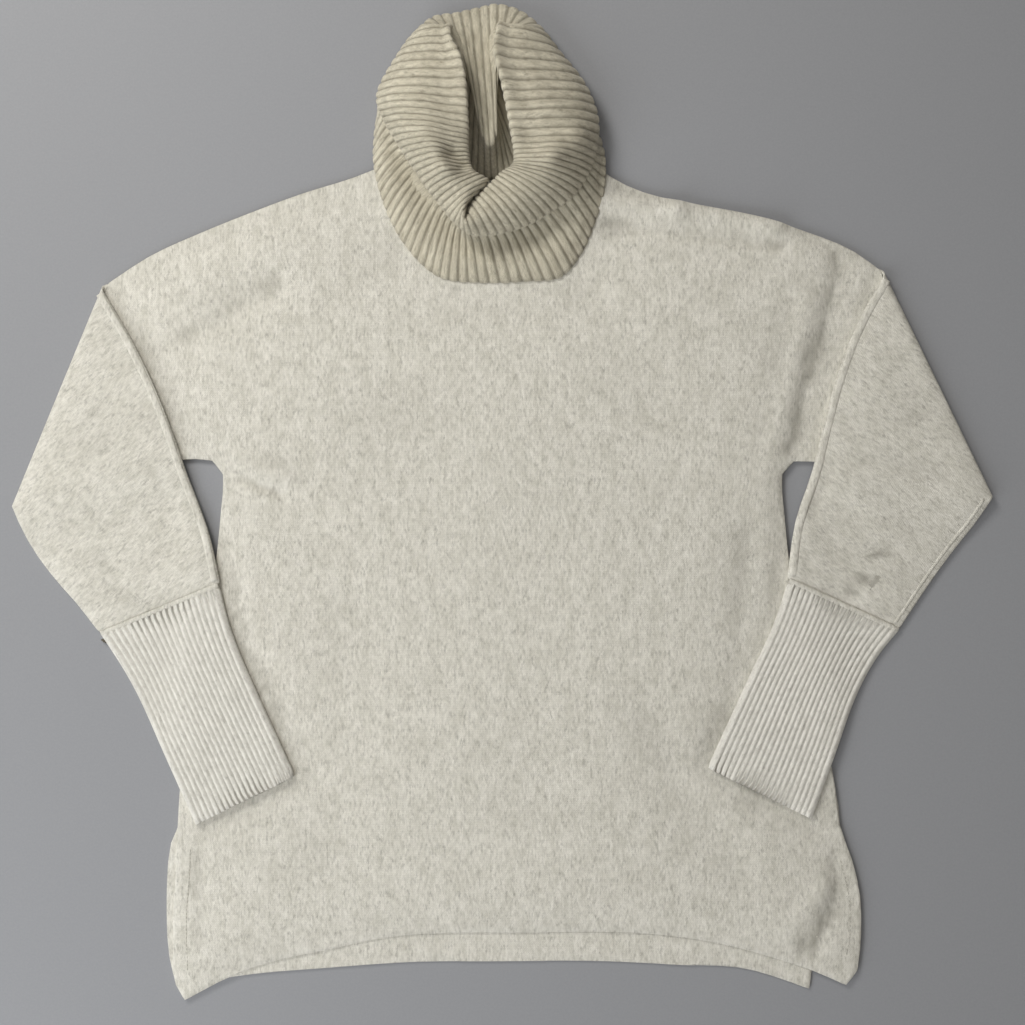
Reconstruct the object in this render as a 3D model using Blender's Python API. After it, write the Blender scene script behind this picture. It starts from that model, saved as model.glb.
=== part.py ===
"""Cowl neck sweater laid on its back, both sleeves folded forward over its front.

Lengths are in millimetres until a mesh is made, and metres after that.
Plan coordinates: x runs across the garment from its centre line, to the right as seen
from above; y runs from the lowest point of the hem towards the neck; z is up, from the
surface that the garment lies on. The finished objects are moved together at the end, so
that the origin is the middle of the garment's footprint.
"""

import math

import bpy
import numpy as np
from mathutils import Vector, geometry

MILLIMETRE = 0.001

# Walls and the spaces between them
JERSEY = 1.8
RIBBING = 2.2
SEAM_GAP = 0.3
FOLD_GAP = 0.6
RIB_RELIEF = 1.1
CUFF_RIBS = 20
COWL_RIBS = 80
POINTS_PER_RIB = 3

# Mesh spacing
EDGE_STEP = 16.0
FIELD_STEP = 34.0
LINE_STEP = 18.0
CLEAR_OF_EDGE = 8.0
CLEAR_OF_POINTS = 7.0

# Heights of the four layers of a folded sleeve: back, front, front again, back again
BACK_LOW = JERSEY / 2
FRONT_LOW = BACK_LOW + JERSEY + SEAM_GAP
FRONT_TOP = FRONT_LOW + JERSEY / 2
FRONT_HIGH = FRONT_LOW + JERSEY + FOLD_GAP
BACK_HIGH = FRONT_HIGH + JERSEY + SEAM_GAP
FOLD_CENTRE = (FRONT_LOW + FRONT_HIGH) / 2
FRONT_BEND = (FRONT_HIGH - FRONT_LOW) / 2
BACK_BEND = (BACK_HIGH - BACK_LOW) / 2
FOLD_REACH = BACK_BEND + JERSEY / 2
CLOTH_DROP = FRONT_HIGH - JERSEY / 2

# Where a sleeve hangs over the edge of the layers below it, it sinks to the surface
DROP_START = 6.0
DROP_END = 42.0
LOFT = 2.6
LOFT_FADE = 32.0
LOFT_CLEAR = 22.0

# Side edges above the vents: y, x of the left edge, x of the right edge
SIDES = [
    (150, -278, 290),
    (182, -276, 286),
    (230, -269, 276),
    (276, -261, 264),
    (330, -252, 254),
    (379, -245, 246),
    (418, -241, 242),
    (440, -239, 240),
]
# Edges of the vents below that, from the corner upwards: x, y
VENTS = {
    ("front", "left"): [(-272, 1), (-281, 18), (-282, 52), (-282, 77), (-280, 104), (-279, 130)],
    ("front", "right"): [(295, 14), (304, 25), (307, 45), (308, 66), (307, 91), (300, 122)],
    ("back", "left"): [(-278, 9), (-284, 29), (-287, 51), (-288, 76), (-287, 112), (-285, 133)],
    ("back", "right"): [(264, 10), (266, 27), (269, 61), (277, 121)],
}
# Hems: x, y, from the left corner to the right one
HEMS = {
    "front": [(-272, 1), (-236, 20), (-205, 32), (-156, 43), (-92, 56), (-36, 59),
              (18, 59), (84, 60), (149, 56), (199, 47), (241, 35), (268, 26), (295, 14)],
    "back": [(-278, 9), (-246, 18), (-213, 23), (-153, 28), (-83, 33), (-2, 34),
             (84, 34), (149, 31), (212, 27), (242, 18), (264, 10)],
}
# Each sleeve: where its fold meets the shoulder and the elbow, then the edges as x, y
SLEEVES = {
    "left": {
        "shoulder": (-343, 612),
        "elbow": (-419, 427),
        "underarm": [(-239, 452), (-243, 461), (-261, 465), (-301, 459), (-361, 442), (-419, 427)],
        "top_edge": [(-98, 718), (-128, 706), (-167, 694), (-216, 676), (-258, 659),
                     (-300, 640), (-343, 612)],
        "inner_edge": [(-343, 612), (-316, 566), (-295, 522), (-280, 483), (-267, 445),
                       (-251, 403), (-241, 359)],
        "outer_edge": [(-419, 427), (-406, 395), (-383, 362), (-366, 343), (-345, 316)],
        "cuff_inner": [(-241, 358), (-234, 326), (-216, 281), (-203, 252), (-189, 222), (-176, 194)],
        "cuff_outer": [(-345, 315), (-326, 287), (-309, 256), (-300, 235), (-281, 195), (-262, 152)],
    },
    "right": {
        "shoulder": (328, 624),
        "elbow": (420, 434),
        "underarm": [(240, 452), (245, 461), (265, 463), (294, 459), (358, 447), (420, 434)],
        "top_edge": [(80, 716), (98, 704), (126, 692), (161, 684), (217, 673), (263, 659),
                     (300, 644), (328, 624)],
        "inner_edge": [(328, 624), (303, 579), (285, 531), (274, 490), (264, 449),
                       (252, 415), (244, 363)],
        "outer_edge": [(420, 434), (402, 406), (387, 387), (373, 368), (340, 319)],
        "cuff_inner": [(244, 362), (232, 322), (221, 300), (204, 264), (189, 231), (175, 201)],
        "cuff_outer": [(341, 318), (320, 294), (311, 277), (302, 259), (288, 220), (265, 157)],
    },
}
# The front's neckline, from the left shoulder to the right one: x, y
FRONT_NECK = [(-98, 718), (-90, 700), (-62, 682), (-9, 674), (44, 682), (72, 699), (80, 716)]
BACK_NECK = [(-98, 718), (-50, 716), (-9, 715), (30, 715), (80, 716)]

# Soft folds of the front: both ends, the width across and the height, a trough being negative
FOLDS = [
    {"x1": -200, "y1": 610, "x2": -262, "y2": 575, "width": 16, "height": -1.6},
    {"x1": -222, "y1": 448, "x2": -190, "y2": 436, "width": 7, "height": -2.0},
    {"x1": 110, "y1": 664, "x2": 232, "y2": 652, "width": 9, "height": 1.4},
    {"x1": 105, "y1": 648, "x2": 225, "y2": 636, "width": 9, "height": -2.2},
    {"x1": 290, "y1": 610, "x2": 262, "y2": 520, "width": 13, "height": -2.0},
    {"x1": -140, "y1": 300, "x2": -150, "y2": 130, "width": 45, "height": -0.8},
    {"x1": 120, "y1": 420, "x2": 150, "y2": 160, "width": 50, "height": -0.8},
    {"x1": 270, "y1": 130, "x2": 285, "y2": 90, "width": 10, "height": -1.6},
]

# The cowl as three closed lines round the neck. share is the part of the ribbing passed,
# from the front centre round by the left. The free edge lies at the bottom, the roll's edge
# overhangs it, and the lip is the edge of the opening, at its height z.
COWL_FREE_EDGE = [
    {"share": 0.000, "x": -20, "y": 616}, {"share": 0.048, "x": -52, "y": 620},
    {"share": 0.082, "x": -70, "y": 633}, {"share": 0.122, "x": -87, "y": 654},
    {"share": 0.181, "x": -103, "y": 689}, {"share": 0.231, "x": -112, "y": 721},
    {"share": 0.269, "x": -113, "y": 746}, {"share": 0.314, "x": -106, "y": 776},
    {"share": 0.367, "x": -89, "y": 806}, {"share": 0.414, "x": -71, "y": 830},
    {"share": 0.441, "x": -57, "y": 841}, {"share": 0.470, "x": -39, "y": 844},
    {"share": 0.500, "x": -20, "y": 848}, {"share": 0.523, "x": -4, "y": 851},
    {"share": 0.546, "x": 13, "y": 847}, {"share": 0.574, "x": 30, "y": 835},
    {"share": 0.616, "x": 49, "y": 811}, {"share": 0.660, "x": 70, "y": 785},
    {"share": 0.709, "x": 84, "y": 754}, {"share": 0.748, "x": 91, "y": 726},
    {"share": 0.787, "x": 89, "y": 697}, {"share": 0.829, "x": 79, "y": 667},
    {"share": 0.869, "x": 68, "y": 641}, {"share": 0.904, "x": 51, "y": 621},
    {"share": 0.945, "x": 21, "y": 617},
]
COWL_ROLL_EDGE = [
    {"share": 0.000, "x": -25, "y": 652}, {"share": 0.030, "x": -37, "y": 660},
    {"share": 0.080, "x": -52, "y": 678}, {"share": 0.118, "x": -63, "y": 692},
    {"share": 0.167, "x": -76, "y": 712}, {"share": 0.210, "x": -87, "y": 730},
    {"share": 0.250, "x": -97, "y": 748}, {"share": 0.310, "x": -104, "y": 775},
    {"share": 0.360, "x": -90, "y": 804}, {"share": 0.410, "x": -73, "y": 828},
    {"share": 0.440, "x": -58, "y": 840}, {"share": 0.470, "x": -38, "y": 843},
    {"share": 0.500, "x": -19, "y": 847}, {"share": 0.524, "x": -4, "y": 850},
    {"share": 0.548, "x": 13, "y": 846}, {"share": 0.576, "x": 30, "y": 834},
    {"share": 0.617, "x": 49, "y": 810}, {"share": 0.660, "x": 69, "y": 783},
    {"share": 0.705, "x": 80, "y": 753}, {"share": 0.750, "x": 78, "y": 724},
    {"share": 0.800, "x": 70, "y": 702}, {"share": 0.838, "x": 59, "y": 686},
    {"share": 0.875, "x": 42, "y": 673}, {"share": 0.911, "x": 24, "y": 662},
    {"share": 0.948, "x": 5, "y": 655}, {"share": 0.974, "x": -10, "y": 652},
]
COWL_LIP = [
    {"share": 0.010, "x": -31, "y": 665, "z": 33}, {"share": 0.045, "x": -29, "y": 676, "z": 33},
    {"share": 0.085, "x": -20, "y": 686, "z": 35}, {"share": 0.125, "x": -12, "y": 695, "z": 36},
    {"share": 0.170, "x": -24, "y": 703, "z": 37}, {"share": 0.225, "x": -27, "y": 717, "z": 39},
    {"share": 0.262, "x": -28, "y": 734, "z": 41}, {"share": 0.300, "x": -28, "y": 757, "z": 43},
    {"share": 0.333, "x": -31, "y": 781, "z": 43}, {"share": 0.362, "x": -36, "y": 800, "z": 41},
    {"share": 0.388, "x": -43, "y": 816, "z": 36}, {"share": 0.408, "x": -42, "y": 826, "z": 27},
    {"share": 0.426, "x": -34, "y": 812, "z": 20}, {"share": 0.447, "x": -27, "y": 786, "z": 21},
    {"share": 0.467, "x": -21, "y": 758, "z": 23}, {"share": 0.484, "x": -16, "y": 739, "z": 24},
    {"share": 0.500, "x": -10, "y": 730, "z": 24}, {"share": 0.516, "x": -5, "y": 739, "z": 24},
    {"share": 0.533, "x": -6, "y": 759, "z": 23}, {"share": 0.553, "x": -12, "y": 780, "z": 21},
    {"share": 0.574, "x": -14, "y": 798, "z": 20}, {"share": 0.594, "x": -8, "y": 818, "z": 21},
    {"share": 0.614, "x": 1, "y": 828, "z": 27}, {"share": 0.634, "x": 2, "y": 818, "z": 36},
    {"share": 0.658, "x": -1, "y": 803, "z": 41}, {"share": 0.688, "x": 2, "y": 781, "z": 43},
    {"share": 0.720, "x": 5, "y": 757, "z": 43}, {"share": 0.753, "x": 8, "y": 735, "z": 42},
    {"share": 0.800, "x": 11, "y": 712, "z": 40}, {"share": 0.890, "x": -2, "y": 699, "z": 38},
    {"share": 0.930, "x": -13, "y": 688, "z": 37}, {"share": 0.970, "x": -24, "y": 677, "z": 35},
]
NECK_SEAM = {"x": -9, "y": 694, "half_width": 80, "half_depth": 26}

# Colours, with the roughness of the knit
WOOL_ROUGHNESS = 0.95
PIECE_COLOURS = {
    "back_panel": (0.56, 0.53, 0.46, 1.0),
    "front_panel": (0.62, 0.60, 0.54, 1.0),
    "cuff_left": (0.66, 0.64, 0.60, 1.0),
    "cuff_right": (0.60, 0.57, 0.52, 1.0),
    "cowl_collar": (0.47, 0.43, 0.34, 1.0),
}


def smooth_step(value):
    """0 below 0, 1 above 1, and an S-shaped rise between them."""
    value = np.clip(value, 0.0, 1.0)
    return value * value * (3.0 - 2.0 * value)


def hermite(knots, values, at):
    """Cubic curve through values at rising knots, with the slope of its neighbours' chord."""
    knots = np.asarray(knots, float)
    values = np.asarray(values, float).reshape(len(knots), -1)
    slopes = np.gradient(values, knots, axis=0)
    at = np.asarray(at, float)
    span = np.clip(np.searchsorted(knots, at, side="right") - 1, 0, len(knots) - 2)
    width = (knots[span + 1] - knots[span])[:, None]
    part = (at[:, None] - knots[span][:, None]) / width
    square = part * part
    cube = square * part
    return (
        (2 * cube - 3 * square + 1) * values[span]
        + (cube - 2 * square + part) * width * slopes[span]
        + (3 * square - 2 * cube) * values[span + 1]
        + (cube - square) * width * slopes[span + 1]
    )


def closed_line(rows, columns, shares):
    """Values of the named columns of a closed line at the given shares of the way round."""
    knots = np.array([row["share"] for row in rows])
    values = np.array([[row[name] for name in columns] for row in rows], float)
    knots = np.concatenate([knots[-2:] - 1.0, knots, knots[:2] + 1.0])
    values = np.concatenate([values[-2:], values, values[:2]])
    return hermite(knots, values, np.mod(shares, 1.0))


def even_path(points, step=None, count=None):
    """A smooth line through points, cut into even steps or into a given count of points."""
    points = np.asarray(points, float)
    chords = np.linalg.norm(np.diff(points, axis=0), axis=1)
    knots = np.concatenate([[0.0], np.cumsum(chords)])
    fine = hermite(knots, points, np.linspace(0.0, knots[-1], 40 * len(points)))
    lengths = np.concatenate([[0.0], np.cumsum(np.linalg.norm(np.diff(fine, axis=0), axis=1))])
    if count is None:
        count = max(2, int(round(lengths[-1] / step)) + 1)
    at = np.linspace(0.0, lengths[-1], count)
    return np.column_stack([np.interp(at, lengths, fine[:, axis]) for axis in (0, 1)])


def distance_outside(points, polygon):
    """Distance of each point from a closed polygon, negative inside it."""
    points = np.asarray(points, float)
    start = np.asarray(polygon, float)
    end = np.roll(start, -1, axis=0)
    edge = end - start
    offset = points[:, None, :] - start[None, :, :]
    length = np.maximum((edge * edge).sum(axis=1), 1e-9)
    along = np.clip((offset * edge[None]).sum(axis=2) / length, 0.0, 1.0)
    nearest = np.linalg.norm(offset - along[..., None] * edge[None], axis=2).min(axis=1)
    rises = (start[None, :, 1] > points[:, None, 1]) != (end[None, :, 1] > points[:, None, 1])
    height = np.where(np.abs(edge[:, 1]) < 1e-9, 1e-9, edge[:, 1])
    crossing = start[:, 0] + (points[:, None, 1] - start[:, 1]) * edge[:, 0] / height
    inside = (rises & (points[:, None, 0] < crossing)).sum(axis=1) % 2 == 1
    return np.where(inside, -nearest, nearest)


class Crease:
    """The straight fold of one sleeve, and the map between the cut sheet and the folded one."""

    def __init__(self, side):
        self.shoulder = np.array(SLEEVES[side]["shoulder"], float)
        elbow = np.array(SLEEVES[side]["elbow"], float)
        self.length = np.linalg.norm(elbow - self.shoulder)
        self.along = (elbow - self.shoulder) / self.length
        outward = -1.0 if side == "left" else 1.0
        self.out = outward * np.array([-self.along[1], self.along[0]])
        if self.out[0] * outward < 0:
            self.out = -self.out

    def inward(self, points):
        """Distance of plan points inward from the line where the bend starts."""
        return -(np.asarray(points, float) - self.shoulder) @ self.out - FOLD_REACH

    def unfold(self, points, bend):
        """Sheet points of plan points that lie on the folded flap."""
        points = np.asarray(points, float)
        along = (points - self.shoulder) @ self.along
        past = math.pi * bend + self.inward(points) - FOLD_REACH
        return self.shoulder + along[:, None] * self.along + past[:, None] * self.out

    def past_bend_start(self, sheet):
        """How far sheet points lie beyond the line where the bend starts."""
        return (np.asarray(sheet, float) - self.shoulder) @ self.out + FOLD_REACH


def cut_at_crease(path, crease):
    """The stretch of a plan path that lies inward of the bend, ending on its start line."""
    path = np.asarray(path, float)
    inward = crease.inward(path)
    kept = []
    for index in range(len(path)):
        if inward[index] > 1.0:
            kept.append(path[index])
        ahead = index + 1
        if ahead < len(path) and (inward[index] > 0) != (inward[ahead] > 0):
            part = inward[index] / (inward[index] - inward[ahead])
            kept.append(path[index] + part * (path[ahead] - path[index]))
    return np.array(kept)


def across_bend(start, end, steps):
    """Points between two sheet points on the two sides of a bend, without the ends."""
    parts = np.linspace(0.0, 1.0, steps + 1)[1:-1, None]
    return start + parts * (end - start)


def side_edge(panel, side):
    """The side of the body, from the hem's corner to the underarm."""
    column = 1 if side == "left" else 2
    rows = [(row[column], row[0]) for row in SIDES]
    return VENTS[(panel, side)] + rows + [SLEEVES[side]["underarm"][0]]


def low_outline(panel):
    """Plan outline of a panel's lower layer, which ends at the sleeves' folds."""
    pieces = [
        even_path(HEMS[panel], EDGE_STEP)[:-1],
        even_path(side_edge(panel, "right"), EDGE_STEP)[:-1],
        even_path(SLEEVES["right"]["underarm"], EDGE_STEP)[:-1],
        even_path(SLEEVES["right"]["top_edge"], EDGE_STEP)[::-1],
        even_path(SLEEVES["left"]["top_edge"], EDGE_STEP),
        even_path(SLEEVES["left"]["underarm"], EDGE_STEP)[::-1],
        even_path(side_edge(panel, "left"), EDGE_STEP)[::-1][1:-1],
    ]
    return np.concatenate(pieces)


def flap_outline(side):
    """Plan outline of the folded part of a sleeve, above its cuff."""
    sleeve = SLEEVES[side]
    return np.concatenate([
        even_path(sleeve["outer_edge"], EDGE_STEP),
        even_path(sleeve["inner_edge"], EDGE_STEP)[::-1],
    ])


def cuff_outline(side):
    """Plan outline of a cuff."""
    sleeve = SLEEVES[side]
    return np.concatenate([
        even_path(sleeve["cuff_outer"], EDGE_STEP),
        even_path(sleeve["cuff_inner"], EDGE_STEP)[::-1],
    ])


def sheet_outline(panel, creases, bend, bend_steps):
    """Outline of a panel as cut, with its two sleeve halves unfolded."""
    loop = [even_path(HEMS[panel], EDGE_STEP)[:-1]]
    for side in ("right", "left"):
        crease = creases[side]
        sleeve = SLEEVES[side]
        body_side = even_path(side_edge(panel, side), EDGE_STEP)[:-1]
        underarm = cut_at_crease(even_path(sleeve["underarm"], EDGE_STEP), crease)
        outer = crease.unfold(cut_at_crease(even_path(sleeve["outer_edge"], EDGE_STEP), crease), bend)
        inner = crease.unfold(cut_at_crease(even_path(sleeve["inner_edge"], EDGE_STEP), crease), bend)
        top = cut_at_crease(even_path(sleeve["top_edge"], EDGE_STEP), crease)
        wrist = across_bend(outer[-1], inner[-1], 7)
        pieces = [
            body_side,
            underarm,
            across_bend(underarm[-1], outer[0], bend_steps),
            outer,
            wrist,
            inner[::-1],
            across_bend(inner[0], top[-1], bend_steps),
            top[::-1],
        ]
        if side == "right":
            neck = FRONT_NECK if panel == "front" else BACK_NECK
            loop += pieces + [even_path(neck, EDGE_STEP)[::-1][1:-1]]
        else:
            loop += [piece[::-1] for piece in reversed(pieces)]
    points = np.concatenate(loop)
    ahead = np.roll(points, -1, axis=0)
    return points[np.linalg.norm(ahead - points, axis=1) > 0.3]


def lines_over_edges(low, side):
    """Plan points along the drop of a sleeve over the edge of the layers below it."""
    covers = [flap_outline(side), cuff_outline(side)]
    edge = np.roll(low, -1, axis=0) - low
    outward = np.column_stack([edge[:, 1], -edge[:, 0]])
    outward /= np.linalg.norm(outward, axis=1)[:, None]
    points = np.concatenate([low + offset * outward for offset in (-1.0, 6.0, 18.0, 30.0, 42.0)])
    return points[distance_outside(points, covers[0]) < -CLEAR_OF_EDGE]


def field(outline, step):
    """Points of an even triangular grid inside an outline."""
    low = outline.min(axis=0)
    high = outline.max(axis=0)
    rows = []
    for number, y in enumerate(np.arange(low[1], high[1], step * math.sqrt(0.75))):
        start = low[0] + (step / 2 if number % 2 else 0.0)
        rows += [(x, y) for x in np.arange(start, high[0], step)]
    points = np.array(rows)
    return points[distance_outside(points, outline) < -CLEAR_OF_EDGE]


def add_clear(kept, extra, distance):
    """Adds the extra points that lie further than a distance from those kept so far."""
    for point in extra:
        if np.linalg.norm(kept - point, axis=1).min() > distance:
            kept = np.concatenate([kept, point[None]])
    return kept


def sheet_triangles(outline, inner):
    """Delaunay triangles of a sheet inside its outline."""
    points = [Vector(point) for point in np.concatenate([outline, inner])]
    count = len(outline)
    edges = [(index, (index + 1) % count) for index in range(count)]
    result = geometry.delaunay_2d_cdt(points, edges, [], 1, 1e-5)
    return np.array([tuple(point) for point in result[0]]), [tuple(face) for face in result[2]]


def drop(plan, low):
    """1 where a sleeve lies over the layers below, falling to 0 beyond their edge."""
    outside = distance_outside(plan, low)
    return 1.0 - smooth_step((outside - DROP_START) / (DROP_END - DROP_START))


def fold_height(plan):
    """Sum of the front's soft folds at plan points."""
    height = np.zeros(len(plan))
    for fold in FOLDS:
        start = np.array([fold["x1"], fold["y1"]], float)
        edge = np.array([fold["x2"], fold["y2"]], float) - start
        along = np.clip((plan - start) @ edge / (edge @ edge), 0.0, 1.0)
        away = np.linalg.norm(plan - start - along[:, None] * edge, axis=1)
        height += fold["height"] * np.exp(-((away / fold["width"]) ** 2))
    return height


def front_loft(plan, low, covers):
    """Height of the front's open stretch above its flat layer, with its soft folds."""
    fade = smooth_step(-distance_outside(plan, low) / LOFT_FADE)
    for cover in covers:
        fade = fade * smooth_step((distance_outside(plan, cover) - LOFT_CLEAR) / LOFT_FADE)
    return np.maximum(fade * (LOFT + fold_height(plan)), 0.0)


def place_panel(sheet, creases, low, covers, panel):
    """Middle points of a folded panel in space, and the directions of its under side."""
    bend = BACK_BEND if panel == "back" else FRONT_BEND
    low_height = BACK_LOW if panel == "back" else FRONT_LOW
    high_height = BACK_HIGH if panel == "back" else FRONT_HIGH
    middle = np.column_stack([sheet, np.full(len(sheet), low_height)])
    under = np.tile([0.0, 0.0, -1.0], (len(sheet), 1))
    if panel == "front":
        middle[:, 2] += front_loft(sheet, low, covers)
    for crease in creases.values():
        past = crease.past_bend_start(sheet)
        angle = np.clip(past / bend, 0.0, math.pi)
        folded = past > 0
        flap = past - math.pi * bend
        reach = np.where(flap > 0, -flap, bend * np.sin(angle))
        plan = sheet + (reach - past)[:, None] * crease.out
        height = np.where(flap > 0, high_height, FOLD_CENTRE - bend * np.cos(angle))
        height = height - CLOTH_DROP * (1.0 - drop(plan, low)) * (flap > 0)
        moved = np.column_stack([plan, height])
        turned = np.column_stack([np.sin(angle)[:, None] * crease.out, -np.cos(angle)])
        middle = np.where(folded[:, None], moved, middle)
        under = np.where(folded[:, None], turned, under)
    return middle, under


def wall_between(upper, lower, faces):
    """Closed wall from two matching point sets, the faces counter-clockwise from the upper side."""
    count = len(upper)
    rim = {}
    for face in faces:
        for a, b in zip(face, face[1:] + face[:1]):
            rim[(a, b)] = rim.get((a, b), 0) + 1
    points = np.concatenate([upper, lower])
    solid = [tuple(face) for face in faces]
    solid += [tuple(index + count for index in reversed(face)) for face in faces]
    for a, b in rim:
        if (b, a) not in rim:
            solid += [(b, a, a + count), (b, a + count, b + count)]
    return points, solid


def make_panel(panel, bend, bend_steps):
    """One body panel with its sleeve halves folded over, as a closed wall."""
    creases = {side: Crease(side) for side in ("left", "right")}
    low = low_outline("front")
    covers = [flap_outline("left"), flap_outline("right")]
    covers += [cuff_outline("left"), cuff_outline("right")]
    covers.append(closed_line(COWL_FREE_EDGE, ("x", "y"), np.arange(40) / 40))
    outline = sheet_outline(panel, creases, bend, bend_steps)

    inner = np.empty((0, 2))
    for side, crease in creases.items():
        stations = np.arange(LINE_STEP / 2, crease.length, LINE_STEP)
        for step in range(bend_steps + 1):
            past = math.pi * bend * step / bend_steps - FOLD_REACH
            line = crease.shoulder + stations[:, None] * crease.along + past * crease.out
            inner = np.concatenate([inner, line])
        inner = np.concatenate([inner, crease.unfold(lines_over_edges(low, side), bend)])
    inner = inner[distance_outside(inner, outline) < -2.0]
    if panel == "front":
        for fold in FOLDS:
            ends = [(fold["x1"], fold["y1"]), (fold["x2"], fold["y2"])]
            line = even_path(ends, LINE_STEP)
            away = np.array([fold["y1"] - fold["y2"], fold["x2"] - fold["x1"]], float)
            away *= fold["width"] / np.linalg.norm(away)
            inner = add_clear(inner, np.concatenate([line, line + away, line - away]), CLEAR_OF_POINTS)
    inner = add_clear(inner, field(outline, FIELD_STEP), FIELD_STEP * 0.6)
    inner = inner[distance_outside(inner, outline) < -1.5]

    sheet, faces = sheet_triangles(outline, inner)
    middle, under = place_panel(sheet, creases, low, covers, panel)
    upper = middle - under * JERSEY / 2
    lower = middle + under * JERSEY / 2
    return wall_between(upper, lower, faces)


def bridge_rings(first, second, count_first, count_second):
    """Triangles between two closed rings of points with the same start and direction."""
    faces = []
    a = 0
    b = 0
    while a < count_first or b < count_second:
        step_first = b == count_second or (a < count_first and a * count_second <= b * count_first)
        here = (first + a % count_first, second + b % count_second)
        if step_first:
            a += 1
            faces.append((here[0], first + a % count_first, here[1]))
        else:
            b += 1
            faces.append((here[0], second + b % count_second, here[1]))
    return faces


def ring_tube(rows, start, count, flip):
    """Quads, as triangles, between successive rings of the same count."""
    faces = []
    for row in range(rows - 1):
        for column in range(count):
            ahead = (column + 1) % count
            a = start + row * count + column
            b = start + row * count + ahead
            c = start + (row + 1) * count + ahead
            d = start + (row + 1) * count + column
            pair = [(a, b, c), (a, c, d)]
            faces += [tuple(reversed(face)) for face in pair] if flip else pair
    return faces


def rib_profile(phase):
    """Height of a rib, 0 in the groove and 1 on the ridge, at a phase counted in ribs."""
    return np.where(np.abs(phase - np.round(phase)) < 0.5 / POINTS_PER_RIB, 0.0, 1.0)


def cuff_section(width, wall_inset, ribbed):
    """One closed section of a flattened cuff: distance across and height, from the bottom."""
    height = 2 * JERSEY + FOLD_GAP - 2 * wall_inset
    half = height / 2
    centre = JERSEY + FOLD_GAP / 2
    turns = [-60.0, 0.0, 60.0] if ribbed else [0.0]
    bottom = [(across, centre - half) for across in np.linspace(centre, width - centre, 14)]
    right = [(width - centre + half * math.cos(math.radians(turn)),
              centre + half * math.sin(math.radians(turn))) for turn in turns]
    columns = CUFF_RIBS * POINTS_PER_RIB + 1 if ribbed else 12
    across_top = np.linspace(width - centre, centre, columns)
    relief = RIB_RELIEF * rib_profile(np.arange(columns) / POINTS_PER_RIB) if ribbed else 0.0 * across_top
    top = [(across, centre + half + rise) for across, rise in zip(across_top, relief)]
    left = [(width - across, 2 * centre - height_at) for across, height_at in right]
    return bottom + right + top + left


def make_cuff(side):
    """A long ribbed cuff, pressed flat, its far half over the body and the rest sunk beside it."""
    sleeve = SLEEVES[side]
    low = low_outline("front")
    rows = 8
    inner_path = even_path(sleeve["cuff_inner"], count=rows)
    outer_path = even_path(sleeve["cuff_outer"], count=rows)
    rings = {True: [], False: []}
    for row in range(rows):
        across = inner_path[row] - outer_path[row]
        width = np.linalg.norm(across)
        across = across / width
        for ribbed, inset in ((True, 0.0), (False, JERSEY)):
            section = np.array(cuff_section(width, inset, ribbed))
            plan = outer_path[row] + section[:, :1] * across
            lift = (FRONT_TOP + SEAM_GAP) * drop(plan, low)
            rings[ribbed].append(np.column_stack([plan, lift + section[:, 1]]))
    outer_count = len(rings[True][0])
    inner_count = len(rings[False][0])
    start = rows * outer_count
    flip = side == "right"
    faces = ring_tube(rows, 0, outer_count, flip)
    faces += ring_tube(rows, start, inner_count, not flip)
    last_outer = (rows - 1) * outer_count
    last_inner = start + (rows - 1) * inner_count
    first_cap = bridge_rings(0, start, outer_count, inner_count)
    last_cap = bridge_rings(last_outer, last_inner, outer_count, inner_count)
    faces += [tuple(reversed(face)) for face in first_cap] if not flip else first_cap
    faces += last_cap if not flip else [tuple(reversed(face)) for face in last_cap]
    return np.concatenate(rings[True] + rings[False]), faces


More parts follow.
